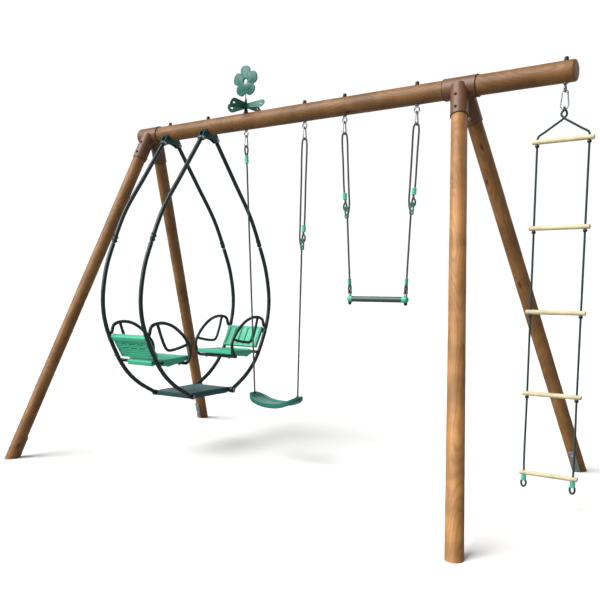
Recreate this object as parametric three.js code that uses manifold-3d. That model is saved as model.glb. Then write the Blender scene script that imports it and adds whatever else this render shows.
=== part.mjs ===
// Round-pole wooden swing set: an A-frame at each end of a beam carries a face-to-face glider,
// a swing, a trapeze and, past the right-hand frame, a rope ladder.
// Millimetres, +X along the beam, +Y to the back, +Z up. The origin is on the ground, in the middle
// of the set's length and depth.
import * as THREE from "three";
import { mergeVertices } from "three/addons/utils/BufferGeometryUtils.js";
import Module from "manifold-3d";

const wasm = await Module();
wasm.setup();

// ---- Fits shared by every piece ----
const TOUCH_GAP = 0.4; // between faces that rest on each other
const RUNNING_GAP = 0.7; // radial play of a pin in an eye
const LINK_GAP = 1; // between two links of wire that hang in each other
const OPEN_PIVOT_GAP = 4.2; // radial play at the pivot where the glider's linkage is opened

// ---- Main frame ----
const BEAM_HEIGHT = 2200; // axis of the beam above the ground
const BEAM_RADIUS = 52;
const FRAME_SPAN = 2330; // between the two A-frames, measured at the beam
const BEAM_OVERHANG_RIGHT = 592; // beam past the right-hand frame
const LEG_RADIUS = 42;
const LEG_SPREAD = 947; // foot, in front of or behind the beam
const LEG_SPLAY = 447; // foot, outwards along the beam
const LEG_HEAD_OFFSET = 30; // leg axis from the beam axis, where it reaches the beam's height
const ROUND_SIDES = 24; // facets of the big round timbers

// ---- Corner brackets ----
const BRACKET_WALL = 4.6;
const SLEEVE_LENGTH = 184;
const SLEEVE_LEFT_START = -104; // closed end of the left sleeve, from the left frame
const SLEEVE_END_WALL = 6;
const SOCKET_END = 182; // along the leg, from the beam's height
const LEG_HEAD = 64; // top of the timber, along the leg, from the beam's height

// ---- Ground anchors ----
const ANCHOR_WIDTH = 42;
const ANCHOR_THICKNESS = 5;
const ANCHOR_LENGTH = 190;

// ---- Bolts through the beam ----
const BOLT_RADIUS = 5;
const BOLT_STICK_OUT = 9; // above the beam
const EYE_RADIUS = 15; // centre line of an eye's ring
const EYE_WIRE = 4.5;
const EYE_DROP = 27; // centre of the eye below the beam
const EYE_SHOULDER = 4;

// ---- Wind spinner ----
const SPINNER_POST_RADIUS = 8;
const SPINNER_POST_HEIGHT = 74;
const SPINNER_FOOT = 6; // thickness of the post's foot and of the collar under the propeller
const SPINNER_HEIGHT = 46; // propeller's plane above the beam
const PROPELLER_SPAN = 300;
const PROPELLER_THICKNESS = 4;
const BLADE_WIDTH = 58; // near the round tip
const BLADE_ROOT_WIDTH = 38;
const BLADE_PITCH = 58; // degrees
const BLADE_SLOT_LENGTH = 8; // between the centres of a slot's round ends
const BLADE_SLOT_WIDTH = 12;
const HUB_RADIUS = 17;
const HUB_HEIGHT = 28;
const TOPPER_WIDTH = 192;
const TOPPER_THICKNESS = 9;
const TOPPER_PETALS = 5;
const TOPPER_STEM = 8; // width
const TOPPER_CENTRE = 194; // centre of the flower plate above the beam

// ---- Glider ----
const GLIDER_X = 354; // middle of the glider
const GLIDER_GAUGE = 352; // between the two side hoops
const GLIDER_PIVOT_DROP = 75; // hanger pins below the beam's axis
const GLIDER_TOP_SPACING = 140; // between the front and rear hanger pins
const GLIDER_BOTTOM_SPACING = 410; // between the footrest's two rods
const HOOP_DROP = 1710; // from hanger pins to footrest rods
const HOOP_HALF_WIDTH = 642;
const TUBE_RADIUS = 14;
const TUBE_JOINT = 0.41; // share of the hoop's length where its two tubes meet
const PIN_RADIUS = 8;
const EYE_WALL = 10;
const TUBE_EYE_PROUD = 1; // each end of a tube's eye past the tube's side
const HANGER_CHEEK = 4;
const HANGER_SADDLE_WIDTH = 64;
const HANGER_SADDLE_THICKNESS = 6;
const SEAT_DROP = 1440; // top of a seat pan below the hanger pins
const SEAT_SIDE_GAP = 1.5;
const BACKREST_THICKNESS = 40;
const BACKREST_HEIGHT = 166;
const BACKREST_INSET = 28; // middle of the backrest inwards from the tubes' axes
const PAN_DEPTH = 232;
const PAN_THICKNESS = 50; // near the rear edge
const PAN_NOSE_THICKNESS = 28;
const PAN_RISE = 10; // front edge above the rear edge
const PAN_HEEL = 46; // from the rear edge forwards to the lowest part
const ARCH_FOOT = 160; // above the seat pan, where an armrest arch leaves its hoop
const ARCH_RISE = 238; // top of an arch above the seat pan
const ARM_RADIUS = 11;
const GRIP_RADIUS = 10;
const FOOTREST_DEPTH = 340;
const FOOTREST_THICKNESS = 40;
const FOOTREST_TAB_WIDTH = 26;
const ROD_RADIUS = 8;

// ---- Carabiners and ropes ----
const CARABINER_WIRE = 4;
const CARABINER_LENGTH = 84;
const CARABINER_WIDTH = 40;
const ROPE_RADIUS = 5.5;

// ---- Swing ----
const SWING_X = 1084;
const SWING_HOOKS = 460;
const SWING_SEAT_ROPES = 352; // between the ropes at the seat
const SWING_ROPE_END = 462; // rope's lower end above the ground
const SWING_SEAT_LENGTH = 402;
const SWING_SEAT_DEPTH = 150;
const SWING_SEAT_THICKNESS = 34;
const SWING_SEAT_SAG = 52;
const SWING_SEAT_CORNER = 64; // radius of its corners, seen from above

// ---- Trapeze ----
const TRAPEZE_X = 1834;
const TRAPEZE_HOOKS = 468;
const TRAPEZE_BAR_ROPES = 374; // between the ropes at the bar
const TRAPEZE_BAR_HEIGHT = 1084;
const TRAPEZE_BAR_LENGTH = 402;
const TRAPEZE_BAR_RADIUS = 17;
const TRAPEZE_CAP_RADIUS = 20;
const TRAPEZE_CAP_LENGTH = 34;
const TRAPEZE_EYE_RADIUS = 10;
const TRAPEZE_EYE_RISE = 38; // centre of a bar eye above the bar's axis

// ---- Rope ladder ----
const LADDER_OVERHANG = 541; // ladder's eye bolt past the right-hand frame
const LADDER_RUNGS = 5;
const RUNG_SPACING = 424;
const LOWEST_RUNG = 184; // height of the lowest rung's axis
const RUNG_RADIUS = 12;
const RUNG_LENGTH = 302;
const LADDER_ROPES = 254; // between the two side ropes
const LADDER_ROPE_TAIL = 70; // rope below the lowest rung
const LADDER_CARABINER_LENGTH = 100;
const LADDER_CARABINER_WIDTH = 48;

// ---- Values worked out from the ones above ----
const RIGHT_X = FRAME_SPAN;
const BEAM_START = SLEEVE_LEFT_START + SLEEVE_END_WALL + TOUCH_GAP;
const BEAM_END = RIGHT_X + BEAM_OVERHANG_RIGHT;
const LADDER_X = RIGHT_X + LADDER_OVERHANG;
const BEAM_TOP = BEAM_HEIGHT + BEAM_RADIUS;
const BEAM_UNDERSIDE = BEAM_HEIGHT - BEAM_RADIUS;
const EYE_HEIGHT = BEAM_UNDERSIDE - EYE_DROP;
const HANGING_PIVOT = EYE_HEIGHT - EYE_RADIUS; // lowest wire of an eye, where a carabiner hangs
const GLIDER_PIVOT = BEAM_HEIGHT - GLIDER_PIVOT_DROP;
const TUBE_EYE_LENGTH = 2 * (TUBE_RADIUS + TUBE_EYE_PROUD);
const PIN_BORE = PIN_RADIUS + RUNNING_GAP;
const OPEN_BORE = ROD_RADIUS + OPEN_PIVOT_GAP;
const LEG_SLOPE = new THREE.Vector3(LEG_SPLAY, LEG_SPREAD - LEG_HEAD_OFFSET, BEAM_HEIGHT).normalize();
const FOOT_HALF_WIDTH = LEG_RADIUS / Math.sqrt(1 - LEG_SLOPE.x ** 2);
const LEFT_EXTENT = -LEG_SPLAY - FOOT_HALF_WIDTH;
const RIGHT_EXTENT = Math.max(BEAM_END, LADDER_X + RUNG_LENGTH / 2, RIGHT_X + LEG_SPLAY + FOOT_HALF_WIDTH);
const CENTRE_X = (LEFT_EXTENT + RIGHT_EXTENT) / 2;

// ---- Finishes ----
const finish = (color, roughness, metalness) => () =>
  new THREE.MeshStandardMaterial({ color, roughness, metalness });
const wood = finish(0x8a5a35, 0.7, 0);
const bracketPaint = finish(0x7d4a34, 0.45, 0.2);
const tubePaint = finish(0x18302f, 0.35, 0.3);
const zinc = finish(0xb9bcc0, 0.3, 1);
const mint = finish(0x42c79c, 0.4, 0);
const teal = finish(0x28806f, 0.4, 0);
const darkTeal = finish(0x1f5558, 0.45, 0);
const ropeFibre = finish(0x33473f, 0.9, 0);
const paleWood = finish(0xe6d5a8, 0.6, 0);

// ---- Geometry helpers ----
function named(name, geometry, material) {
  const mesh = new THREE.Mesh(geometry, material);
  mesh.name = name;
  return mesh;
}

function solid(geometry) {
  const bare = geometry.clone();
  bare.deleteAttribute("normal");
  bare.deleteAttribute("uv");
  const merged = mergeVertices(bare, 1e-3);
  return new wasm.Manifold(
    new wasm.Mesh({
      numProp: 3,
      vertProperties: new Float32Array(merged.attributes.position.array),
      triVerts: new Uint32Array(merged.index.array),
    }),
  );
}

function geometryOf(manifold) {
  const mesh = manifold.getMesh();
  const geometry = new THREE.BufferGeometry();
  geometry.setAttribute("position", new THREE.BufferAttribute(mesh.vertProperties, 3));
  geometry.setIndex(new THREE.BufferAttribute(mesh.triVerts, 1));
  geometry.computeVertexNormals();
  return geometry;
}

const joined = (geometries) => geometries.map(solid).reduce((a, b) => a.add(b));

const drilled = (body, cutters) => cutters.map(solid).reduce((a, b) => a.subtract(b), body);

function rod(from, to, radius, sides = 16) {
  const along = new THREE.Vector3().subVectors(to, from);
  const geometry = new THREE.CylinderGeometry(radius, radius, along.length(), sides);
  const turn = new THREE.Quaternion();
  turn.setFromUnitVectors(new THREE.Vector3(0, 1, 0), along.clone().normalize());
  geometry.applyQuaternion(turn);
  geometry.translate(...new THREE.Vector3().addVectors(from, to).multiplyScalar(0.5).toArray());
  return geometry;
}

// A round bar that stands on (x, y) from one height to another.
function post(x, y, from, to, radius, sides = 16) {
  return rod(new THREE.Vector3(x, y, from), new THREE.Vector3(x, y, to), radius, sides);
}

// A cylinder along X, centred on (x, y, z).
function crossRod(x, y, z, length, radius, sides = 16) {
  const half = new THREE.Vector3(length / 2, 0, 0);
  const centre = new THREE.Vector3(x, y, z);
  return rod(centre.clone().sub(half), centre.clone().add(half), radius, sides);
}

function tubeAlong(curve, radius, steps, halfSides = 4) {
  const section = new THREE.Shape().absarc(0, 0, radius, 0, Math.PI * 2);
  return new THREE.ExtrudeGeometry(section, {
    steps,
    curveSegments: halfSides,
    bevelEnabled: false,
    extrudePath: curve,
  });
}

// A flat outline in the YZ plane, given as a Shape in (y, z), made into a plate centred on x.
function plateAcross(shape, x, thickness, curveSegments = 6) {
  const geometry = new THREE.ExtrudeGeometry(shape, { depth: thickness, bevelEnabled: false, curveSegments });
  geometry.rotateY(Math.PI / 2);
  geometry.rotateX(Math.PI / 2);
  geometry.translate(x - thickness / 2, 0, 0);
  return geometry;
}

class Stretch extends THREE.Curve {
  constructor(curve, from, to) {
    super();
    this.curve = curve;
    this.from = from;
    this.to = to;
  }

  getPoint(t, target = new THREE.Vector3()) {
    return target.copy(this.curve.getPointAt(THREE.MathUtils.lerp(this.from, this.to, t)));
  }
}

// A wire ring standing in the XZ plane.
function ring(radius, wire, segments = 14) {
  const geometry = new THREE.TorusGeometry(radius, wire, 6, segments);
  geometry.rotateX(Math.PI / 2);
  return geometry;
}

// A closed oval of wire in the YZ plane that hangs by its top wire from a wire of radius EYE_WIRE at z = 0.
function carabiner(length, width) {
  const segments = 16;
  const geometry = new THREE.TorusGeometry(width / 2 - CARABINER_WIRE, CARABINER_WIRE, 6, segments);
  geometry.rotateZ(Math.PI / segments);
  geometry.rotateX(Math.PI / 2);
  geometry.rotateZ(Math.PI / 2);
  const position = geometry.attributes.position;
  for (let i = 0; i < position.count; i += 1) {
    const lower = position.getZ(i) < 0 ? length - width : 0;
    position.setZ(i, position.getZ(i) - lower);
  }
  geometry.translate(0, 0, carabinerTop() + CARABINER_WIRE - width / 2);
  return geometry;
}

const carabinerTop = () => EYE_WIRE + CARABINER_WIRE + LINK_GAP;

const ropeTop = (carabinerLength) => carabinerTop() + CARABINER_WIRE - carabinerLength - TOUCH_GAP;

// ---- Main frame ----
// The point of a leg's axis at a distance along it, measured from the beam's height.
function legPoint(endX, outwards, side, distance) {
  const start = new THREE.Vector3(endX, side * LEG_HEAD_OFFSET, BEAM_HEIGHT);
  const slope = new THREE.Vector3(outwards * LEG_SLOPE.x, side * LEG_SLOPE.y, -LEG_SLOPE.z);
  return start.addScaledVector(slope, distance);
}

const legLength = () => BEAM_HEIGHT / LEG_SLOPE.z;

// Everything below the ground, to cut sloping pieces off level with it.
function belowGround(x, y) {
  const size = 400;
  const box = new THREE.BoxGeometry(size, size, size);
  box.translate(x, y, -size / 2);
  return box;
}

function leg(endX, outwards, side) {
  const top = legPoint(endX, outwards, side, LEG_HEAD);
  const foot = legPoint(endX, outwards, side, legLength());
  const past = legPoint(endX, outwards, side, legLength() + LEG_RADIUS);
  const timber = solid(rod(top, past, LEG_RADIUS, ROUND_SIDES));
  return geometryOf(drilled(timber, [belowGround(foot.x, foot.y)]));
}

const boltHole = (x) =>
  post(x, 0, BEAM_UNDERSIDE - BOLT_STICK_OUT, BEAM_TOP + BOLT_STICK_OUT, BOLT_RADIUS + TOUCH_GAP, 12);

const gliderHangerX = (side) => GLIDER_X + (side * GLIDER_GAUGE) / 2;

const hookX = (middle, spacing, side) => middle + (side * spacing) / 2;

function eyeBoltPlaces() {
  return {
    eye_bolt_swing_left: hookX(SWING_X, SWING_HOOKS, -1),
    eye_bolt_swing_right: hookX(SWING_X, SWING_HOOKS, 1),
    eye_bolt_trapeze_left: hookX(TRAPEZE_X, TRAPEZE_HOOKS, -1),
    eye_bolt_trapeze_right: hookX(TRAPEZE_X, TRAPEZE_HOOKS, 1),
    eye_bolt_ladder: LADDER_X,
  };
}

function crossbeam() {
  const middle = (BEAM_START + BEAM_END) / 2;
  const timber = solid(crossRod(middle, 0, BEAM_HEIGHT, BEAM_END - BEAM_START, BEAM_RADIUS, ROUND_SIDES));
  const places = [...Object.values(eyeBoltPlaces()), gliderHangerX(-1), gliderHangerX(1)];
  return geometryOf(drilled(timber, places.map(boltHole)));
}

// A sleeve round the beam with a socket for each leg. The left one is closed at its outer end.
function cornerBracket(endX, outwards) {
  const start = outwards < 0 ? endX + SLEEVE_LEFT_START : endX - SLEEVE_LENGTH / 2;
  const middle = start + SLEEVE_LENGTH / 2;
  const sleeveRadius = BEAM_RADIUS + TOUCH_GAP + BRACKET_WALL;
  const socketRadius = LEG_RADIUS + TOUCH_GAP + BRACKET_WALL;
  const alongLeg = (side, from, to, radius) =>
    rod(legPoint(endX, outwards, side, from), legPoint(endX, outwards, side, to), radius, ROUND_SIDES);
  const sleeve = crossRod(middle, 0, BEAM_HEIGHT, SLEEVE_LENGTH, sleeveRadius, ROUND_SIDES);
  const body = joined([sleeve, alongLeg(-1, 0, SOCKET_END, socketRadius), alongLeg(1, 0, SOCKET_END, socketRadius)]);
  const boreTop = LEG_HEAD - TOUCH_GAP;
  const boreFoot = SOCKET_END + BRACKET_WALL;
  const legBores = [-1, 1].map((side) => alongLeg(side, boreTop, boreFoot, LEG_RADIUS + TOUCH_GAP));
  const closed = outwards < 0 ? SLEEVE_END_WALL : -SLEEVE_END_WALL;
  const boreStart = start + closed;
  const boreEnd = start + SLEEVE_LENGTH + SLEEVE_END_WALL;
  const boreRadius = BEAM_RADIUS + TOUCH_GAP;
  const boreMiddle = (boreStart + boreEnd) / 2;
  const bore = crossRod(boreMiddle, 0, BEAM_HEIGHT, boreEnd - boreStart, boreRadius, ROUND_SIDES);
  return geometryOf(drilled(body, [bore, ...legBores]));
}

// A steel strap that lies along the inner side of a leg's foot.
function groundAnchor(endX, outwards, side) {
  const foot = legPoint(endX, outwards, side, legLength());
  const up = legPoint(endX, outwards, side, 0).sub(foot).normalize();
  const inwards = new THREE.Vector3(0, -side, 0);
  inwards.addScaledVector(up, -inwards.dot(up)).normalize();
  const sideways = new THREE.Vector3().crossVectors(inwards, up);
  const box = new THREE.BoxGeometry(ANCHOR_WIDTH, ANCHOR_THICKNESS, ANCHOR_LENGTH);
  box.applyMatrix4(new THREE.Matrix4().makeBasis(sideways, inwards, up));
  const centre = foot.clone().addScaledVector(up, ANCHOR_LENGTH / 2 - ANCHOR_WIDTH / 2);
  centre.addScaledVector(inwards, LEG_RADIUS + TOUCH_GAP + ANCHOR_THICKNESS / 2);
  box.translate(...centre.toArray());
  return geometryOf(drilled(solid(box), [belowGround(foot.x, foot.y)]));
}

// A ring under the beam with a shank right through it. A hexagon shoulder bears on the underside.
function eyeBolt() {
  const shankTop = EYE_DROP + 2 * BEAM_RADIUS + BOLT_STICK_OUT;
  const shoulderTop = EYE_DROP - TOUCH_GAP;
  const parts = [
    ring(EYE_RADIUS, EYE_WIRE),
    post(0, 0, EYE_RADIUS, shankTop, BOLT_RADIUS, 10),
    post(0, 0, shoulderTop - EYE_SHOULDER, shoulderTop, BOLT_RADIUS * 2, 6),
  ];
  return geometryOf(joined(parts));
}

function frameGroup() {
  const group = new THREE.Group();
  group.add(named("crossbeam", crossbeam(), wood()));
  for (const [end, endX, outwards] of [["left", 0, -1], ["right", RIGHT_X, 1]]) {
    group.add(named(`corner_bracket_${end}`, cornerBracket(endX, outwards), bracketPaint()));
    for (const [face, side] of [["front", -1], ["rear", 1]]) {
      group.add(named(`leg_${end}_${face}`, leg(endX, outwards, side), wood()));
      group.add(named(`ground_anchor_${end}_${face}`, groundAnchor(endX, outwards, side), zinc()));
    }
  }
  for (const [name, x] of Object.entries(eyeBoltPlaces())) {
    const bolt = named(name, eyeBolt(), zinc());
    if (name === "eye_bolt_ladder") bolt.rotation.z = Math.PI / 2; // the ladder's links face the front
    bolt.position.set(x, 0, EYE_HEIGHT);
    group.add(bolt);
  }
  return group;
}

// ---- Wind spinner ----
// Its group's origin is on top of the beam.
function spinnerPost() {
  const collarTop = SPINNER_HEIGHT - HUB_HEIGHT / 2 - RUNNING_GAP;
  const body = joined([
    post(0, 0, TOUCH_GAP, SPINNER_FOOT, SPINNER_POST_RADIUS * 2),
    post(0, 0, TOUCH_GAP, SPINNER_POST_HEIGHT, SPINNER_POST_RADIUS),
    post(0, 0, collarTop - SPINNER_FOOT, collarTop, SPINNER_POST_RADIUS * 1.5),
  ]);
  const bore = post(0, 0, -TOUCH_GAP, BOLT_STICK_OUT + TOUCH_GAP, BOLT_RADIUS + TOUCH_GAP, 12);
  return geometryOf(drilled(body, [bore]));
}

// A flat paddle along X that widens to a round tip with a round-ended slot, pitched about its length.
function blade() {
  const round = BLADE_WIDTH / 2;
  const tip = PROPELLER_SPAN / 2 - round;
  const root = HUB_RADIUS * 0.6;
  const paddle = new THREE.Shape();
  paddle.moveTo(root, -BLADE_ROOT_WIDTH / 2);
  paddle.lineTo(tip, -round);
  paddle.absarc(tip, 0, round, -Math.PI / 2, Math.PI / 2, false);
  paddle.lineTo(root, BLADE_ROOT_WIDTH / 2);
  const slot = new THREE.Path();
  slot.absarc(tip, 0, BLADE_SLOT_WIDTH / 2, -Math.PI / 2, Math.PI / 2, false);
  slot.absarc(tip - BLADE_SLOT_LENGTH, 0, BLADE_SLOT_WIDTH / 2, Math.PI / 2, Math.PI * 1.5, false);
  paddle.holes.push(slot);
  const plate = { depth: PROPELLER_THICKNESS, bevelEnabled: false, curveSegments: 6 };
  const geometry = new THREE.ExtrudeGeometry(paddle, plate);
  geometry.translate(0, 0, -PROPELLER_THICKNESS / 2);
  geometry.rotateX(THREE.MathUtils.degToRad(BLADE_PITCH));
  return geometry;
}

// Four pitched blades round a hub.
function propeller() {
  const pieces = [post(0, 0, -HUB_HEIGHT / 2, HUB_HEIGHT / 2, HUB_RADIUS)];
  for (let i = 0; i < 4; i += 1) {
    pieces.push(blade().rotateZ((i * Math.PI) / 2));
  }
  const bore = post(0, 0, -HUB_HEIGHT, HUB_HEIGHT, SPINNER_POST_RADIUS + RUNNING_GAP);
  return geometryOf(drilled(joined(pieces), [bore]));
}

// A plain flower plate: round petals about a middle with a round hole, on a short stem.
function topper() {
  const petalRadius = TOPPER_WIDTH * 0.24;
  const petalRing = TOPPER_WIDTH / 2 - petalRadius;
  const half = TOPPER_THICKNESS / 2;
  const disc = (x, z, radius, depth) =>
    rod(new THREE.Vector3(x, -depth, z), new THREE.Vector3(x, depth, z), radius, 14);
  const pieces = [disc(0, TOPPER_CENTRE, petalRing, half)];
  for (let i = 0; i < TOPPER_PETALS; i += 1) {
    const angle = Math.PI / 2 + (i * 2 * Math.PI) / TOPPER_PETALS;
    pieces.push(disc(petalRing * Math.cos(angle), TOPPER_CENTRE + petalRing * Math.sin(angle), petalRadius, half));
  }
  const stemFoot = SPINNER_POST_HEIGHT + TOUCH_GAP;
  const stem = new THREE.BoxGeometry(TOPPER_STEM, TOPPER_THICKNESS, TOPPER_CENTRE - stemFoot);
  stem.translate(0, 0, (TOPPER_CENTRE + stemFoot) / 2);
  pieces.push(stem);
  return geometryOf(drilled(joined(pieces), [disc(0, TOPPER_CENTRE, petalRing / 3, TOPPER_THICKNESS)]));
}

function spinnerGroup() {
  const group = new THREE.Group();
  group.position.set(hookX(SWING_X, SWING_HOOKS, -1), 0, BEAM_TOP);
  group.add(named("spinner_post", spinnerPost(), darkTeal()));
  group.add(named("spinner_flower_plate", topper(), teal()));
  const blades = named("spinner_propeller", propeller(), teal());
  blades.position.z = SPINNER_HEIGHT;
  group.add(blades);
  return group;
}

// ---- Glider ----
// Its group's origin is midway between the hanger pins, in the middle of the seats. side is -1 for
// the front half and 1 for the rear half; the outlines are written for the rear half.
const topPinY = GLIDER_TOP_SPACING / 2;
const bottomPinY = GLIDER_BOTTOM_SPACING / 2;

// A hoop's outline from a hanger pin to the footrest: shares of the half width and of the drop.
function hoop(side) {
  const shape = [
    [0.393, 0.142],
    [0.674, 0.284],
    [0.83, 0.398],
    [0.945, 0.503],
    [1, 0.622],
    [0.972, 0.711],
    [0.852, 0.82],
    [0.725, 0.893],
    [0.565, 0.947],
  ];
  const along = shape.map(([y, z]) => new THREE.Vector3(0, side * y * HOOP_HALF_WIDTH, -z * HOOP_DROP));
  const top = new THREE.Vector3(0, side * topPinY, 0);
  const bottom = new THREE.Vector3(0, side * bottomPinY, -HOOP_DROP);
  return new THREE.CatmullRomCurve3([top, ...along, bottom]);
}

// The hoop's distance from the middle plane at a height on its lower half, and its slope there.
function hoopAt(z) {
  const curve = hoop(1);
  let low = 0.4;
  let high = 1;
  for (let i = 0; i < 30; i += 1) {
    const middle = (low + high) / 2;
    if (curve.getPointAt(middle).z > z) low = middle;
    else high = middle;
  }
  return { point: curve.getPointAt(low), slope: curve.getTangentAt(low) };
}

function upperTube(side) {
  const curve = hoop(side);
  const start = curve.getPointAt(0);
  const tube = tubeAlong(new Stretch(curve, 0.006, TUBE_JOINT - 0.0003), TUBE_RADIUS, 8);
  const eye = crossRod(0, start.y, start.z, TUBE_EYE_LENGTH, PIN_BORE + EYE_WALL, 16);
  const bore = crossRod(0, start.y, start.z, TUBE_EYE_LENGTH * 2, PIN_BORE, 16);
  return geometryOf(drilled(joined([tube, eye]), [bore]));
}

function lowerTube(side) {
  const curve = hoop(side);
  const end = curve.getPointAt(1);
  const boreRadius = side > 0 ? OPEN_BORE : PIN_BORE;
  const tube = tubeAlong(new Stretch(curve, TUBE_JOINT, 0.992), TUBE_RADIUS, 13);
  const eye = crossRod(0, end.y, end.z, TUBE_EYE_LENGTH, boreRadius + EYE_WALL, 16);
  const bore = crossRod(0, end.y, end.z, TUBE_EYE_LENGTH * 2, boreRadius, 16);
  return geometryOf(drilled(joined([tube, eye]), [bore]));
}

// A saddle under the beam with two cheeks and a pin for each tube, and a stud up through the beam.
function gliderHanger() {
  const beamZ = GLIDER_PIVOT_DROP;
  const inner = BEAM_RADIUS + TOUCH_GAP;
  const outer = inner + HANGER_SADDLE_THICKNESS;
  const from = Math.PI * 1.12;
  const to = Math.PI * 1.88;
  const band = new THREE.Shape();
  band.absarc(0, beamZ, outer, from, to, false);
  band.absarc(0, beamZ, inner, to, from, true);
  const cheekOutline = new THREE.Shape();
  const hub = PIN_RADIUS + EYE_WALL;
  cheekOutline.moveTo(-topPinY - hub, 0);
  cheekOutline.lineTo(-outer, beamZ - outer / 2);
  cheekOutline.lineTo(outer, beamZ - outer / 2);
  cheekOutline.lineTo(topPinY + hub, 0);
  cheekOutline.absarc(topPinY, 0, hub, 0, -Math.PI * 0.75, true);
  cheekOutline.quadraticCurveTo(0, hub, -topPinY + hub * 0.7, -hub * 0.7);
  cheekOutline.absarc(-topPinY, 0, hub, -Math.PI * 0.25, -Math.PI, true);
  const cheekX = TUBE_EYE_LENGTH / 2 + RUNNING_GAP + HANGER_CHEEK / 2;
  const pinLength = 2 * cheekX + HANGER_CHEEK;
  const cheeks = joined([-cheekX, cheekX].map((x) => plateAcross(cheekOutline, x, HANGER_CHEEK)));
  const beamSpace = crossRod(0, 0, beamZ, HANGER_SADDLE_WIDTH * 2, (inner + outer) / 2, ROUND_SIDES);
  const body = joined([
    plateAcross(band, 0, HANGER_SADDLE_WIDTH, 8),
    crossRod(0, -topPinY, 0, pinLength, PIN_RADIUS),
    crossRod(0, topPinY, 0, pinLength, PIN_RADIUS),
  ]);
  const studFoot = beamZ - inner - HANGER_SADDLE_THICKNESS / 2;
  const stud = post(0, 0, studFoot, beamZ + BEAM_RADIUS + BOLT_STICK_OUT, BOLT_RADIUS, 10);
  return geometryOf(drilled(cheeks, [beamSpace]).add(body).add(solid(stud)));
}

const seatWidth = () => GLIDER_GAUGE - 2 * (TUBE_RADIUS + SEAT_SIDE_GAP);

// A straight moulded panel between the hoops, leaning along them.
function backrest(side) {
  const foot = hoopAt(-SEAT_DROP);
  const up = foot.slope.clone().negate();
  const inwards = new THREE.Vector3(0, -up.z, up.y);
  const corner = (along, across) =>
    foot.point.clone().addScaledVector(up, along).addScaledVector(inwards, BACKREST_INSET + across);
  const half = BACKREST_THICKNESS / 2;
  const corners = [corner(0, -half), corner(BACKREST_HEIGHT, -half), corner(BACKREST_HEIGHT, half), corner(0, half)];
  const outline = new THREE.Shape(corners.map((p) => new THREE.Vector2(side * p.y, p.z)));
  return plateAcross(outline, 0, seatWidth());
}

// Where a seat's pan lies: its rear edge stands clear of the backrest's foot.
function panPlace() {
  const rear = hoopAt(-SEAT_DROP).point.y - BACKREST_THICKNESS - BACKREST_INSET * 1.4;
  return { rear, front: rear - PAN_DEPTH, top: -SEAT_DROP };
}

// Height of a seat pan's underside at a distance from the middle plane: it slopes down to the heel.
function panUnderside(y) {
  const { rear, front, top } = panPlace();
  const share = (y - front) / (rear - PAN_HEEL - front);
  return top + (1 - share) * (PAN_RISE - PAN_NOSE_THICKNESS) - share * PAN_THICKNESS;
}

function seatPan(side) {
  const { rear, front, top } = panPlace();
  const nose = PAN_NOSE_THICKNESS / 2;
  const outline = new THREE.Shape();
  outline.moveTo(side * rear, top);
  outline.lineTo(side * rear, top - PAN_THICKNESS / 3);
  outline.lineTo(side * (rear - PAN_HEEL), top - PAN_THICKNESS);
  outline.lineTo(side * (front + nose), panUnderside(front + nose));
  outline.lineTo(side * front, top - nose + PAN_RISE);
  outline.quadraticCurveTo(side * front, top + PAN_RISE, side * (front + nose), top + PAN_RISE);
  return plateAcross(outline, 0, seatWidth(), 4);
}

// The tube under a seat's rear edge, just inside both hoops.
function seatBar(side) {
  const { point, slope } = hoopAt(-SEAT_DROP - ARM_RADIUS * 3);
  const inset = TUBE_RADIUS + ARM_RADIUS + 2 * LINK_GAP;
  const length = GLIDER_GAUGE + 2 * TUBE_RADIUS;
  return crossRod(0, side * (point.y + inset * slope.z), point.z - inset * slope.y, length, ARM_RADIUS, 10);
}

// Both armrest arches with their hand grips, and the tube under the pan that joins them.
function armrestFrame(side) {
  const { rear, front, top } = panPlace();
  const start = hoopAt(top + ARCH_FOOT);
  const offHoop = (away) => [start.point.y + away * start.slope.z, start.point.z - away * start.slope.y];
  const touching = TUBE_RADIUS + 2;
  const barY = front + 40;
  const barZ = panUnderside(barY) - ARM_RADIUS - TOUCH_GAP - 2;
  const archTop = top + ARCH_RISE;
  const arch = [
    offHoop(touching),
    offHoop(touching + ARM_RADIUS),
    [rear + 124, archTop - 46],
    [rear + 116, archTop - 24],
    [rear + 90, archTop - 8],
    [rear + 38, archTop],
    [rear - 17, archTop - 5],
    [front + 152, archTop - 27],
    [front + 73, archTop - 81],
    [front + 25, archTop - 132],
    [front + 2, archTop - 166],
    [front - 3, top + 37],
    [front + 6, top + 5],
    [front + 22, barZ + 11],
    [barY, barZ],
  ];
  const grip = [
    [rear + 58, archTop - 6],
    [rear + 25, archTop - 96],
    [rear - 7, archTop - 160],
    [rear - 24, archTop - 176],
    [rear - 50, archTop - 180],
    [front + 113, archTop - 172],
    [front + 13, archTop - 150],
  ];
  const path = (points, x) =>
    new THREE.CatmullRomCurve3(points.map(([y, z]) => new THREE.Vector3(x, side * y, z)));
  const pieces = [crossRod(0, side * barY, barZ, GLIDER_GAUGE, ARM_RADIUS, 10)];
  for (const x of [-GLIDER_GAUGE / 2, GLIDER_GAUGE / 2]) {
    pieces.push(tubeAlong(path(arch, x), ARM_RADIUS, 18));
    pieces.push(tubeAlong(path(grip, x), GRIP_RADIUS, 9, 3));
  }
  return geometryOf(joined(pieces));
}

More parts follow.
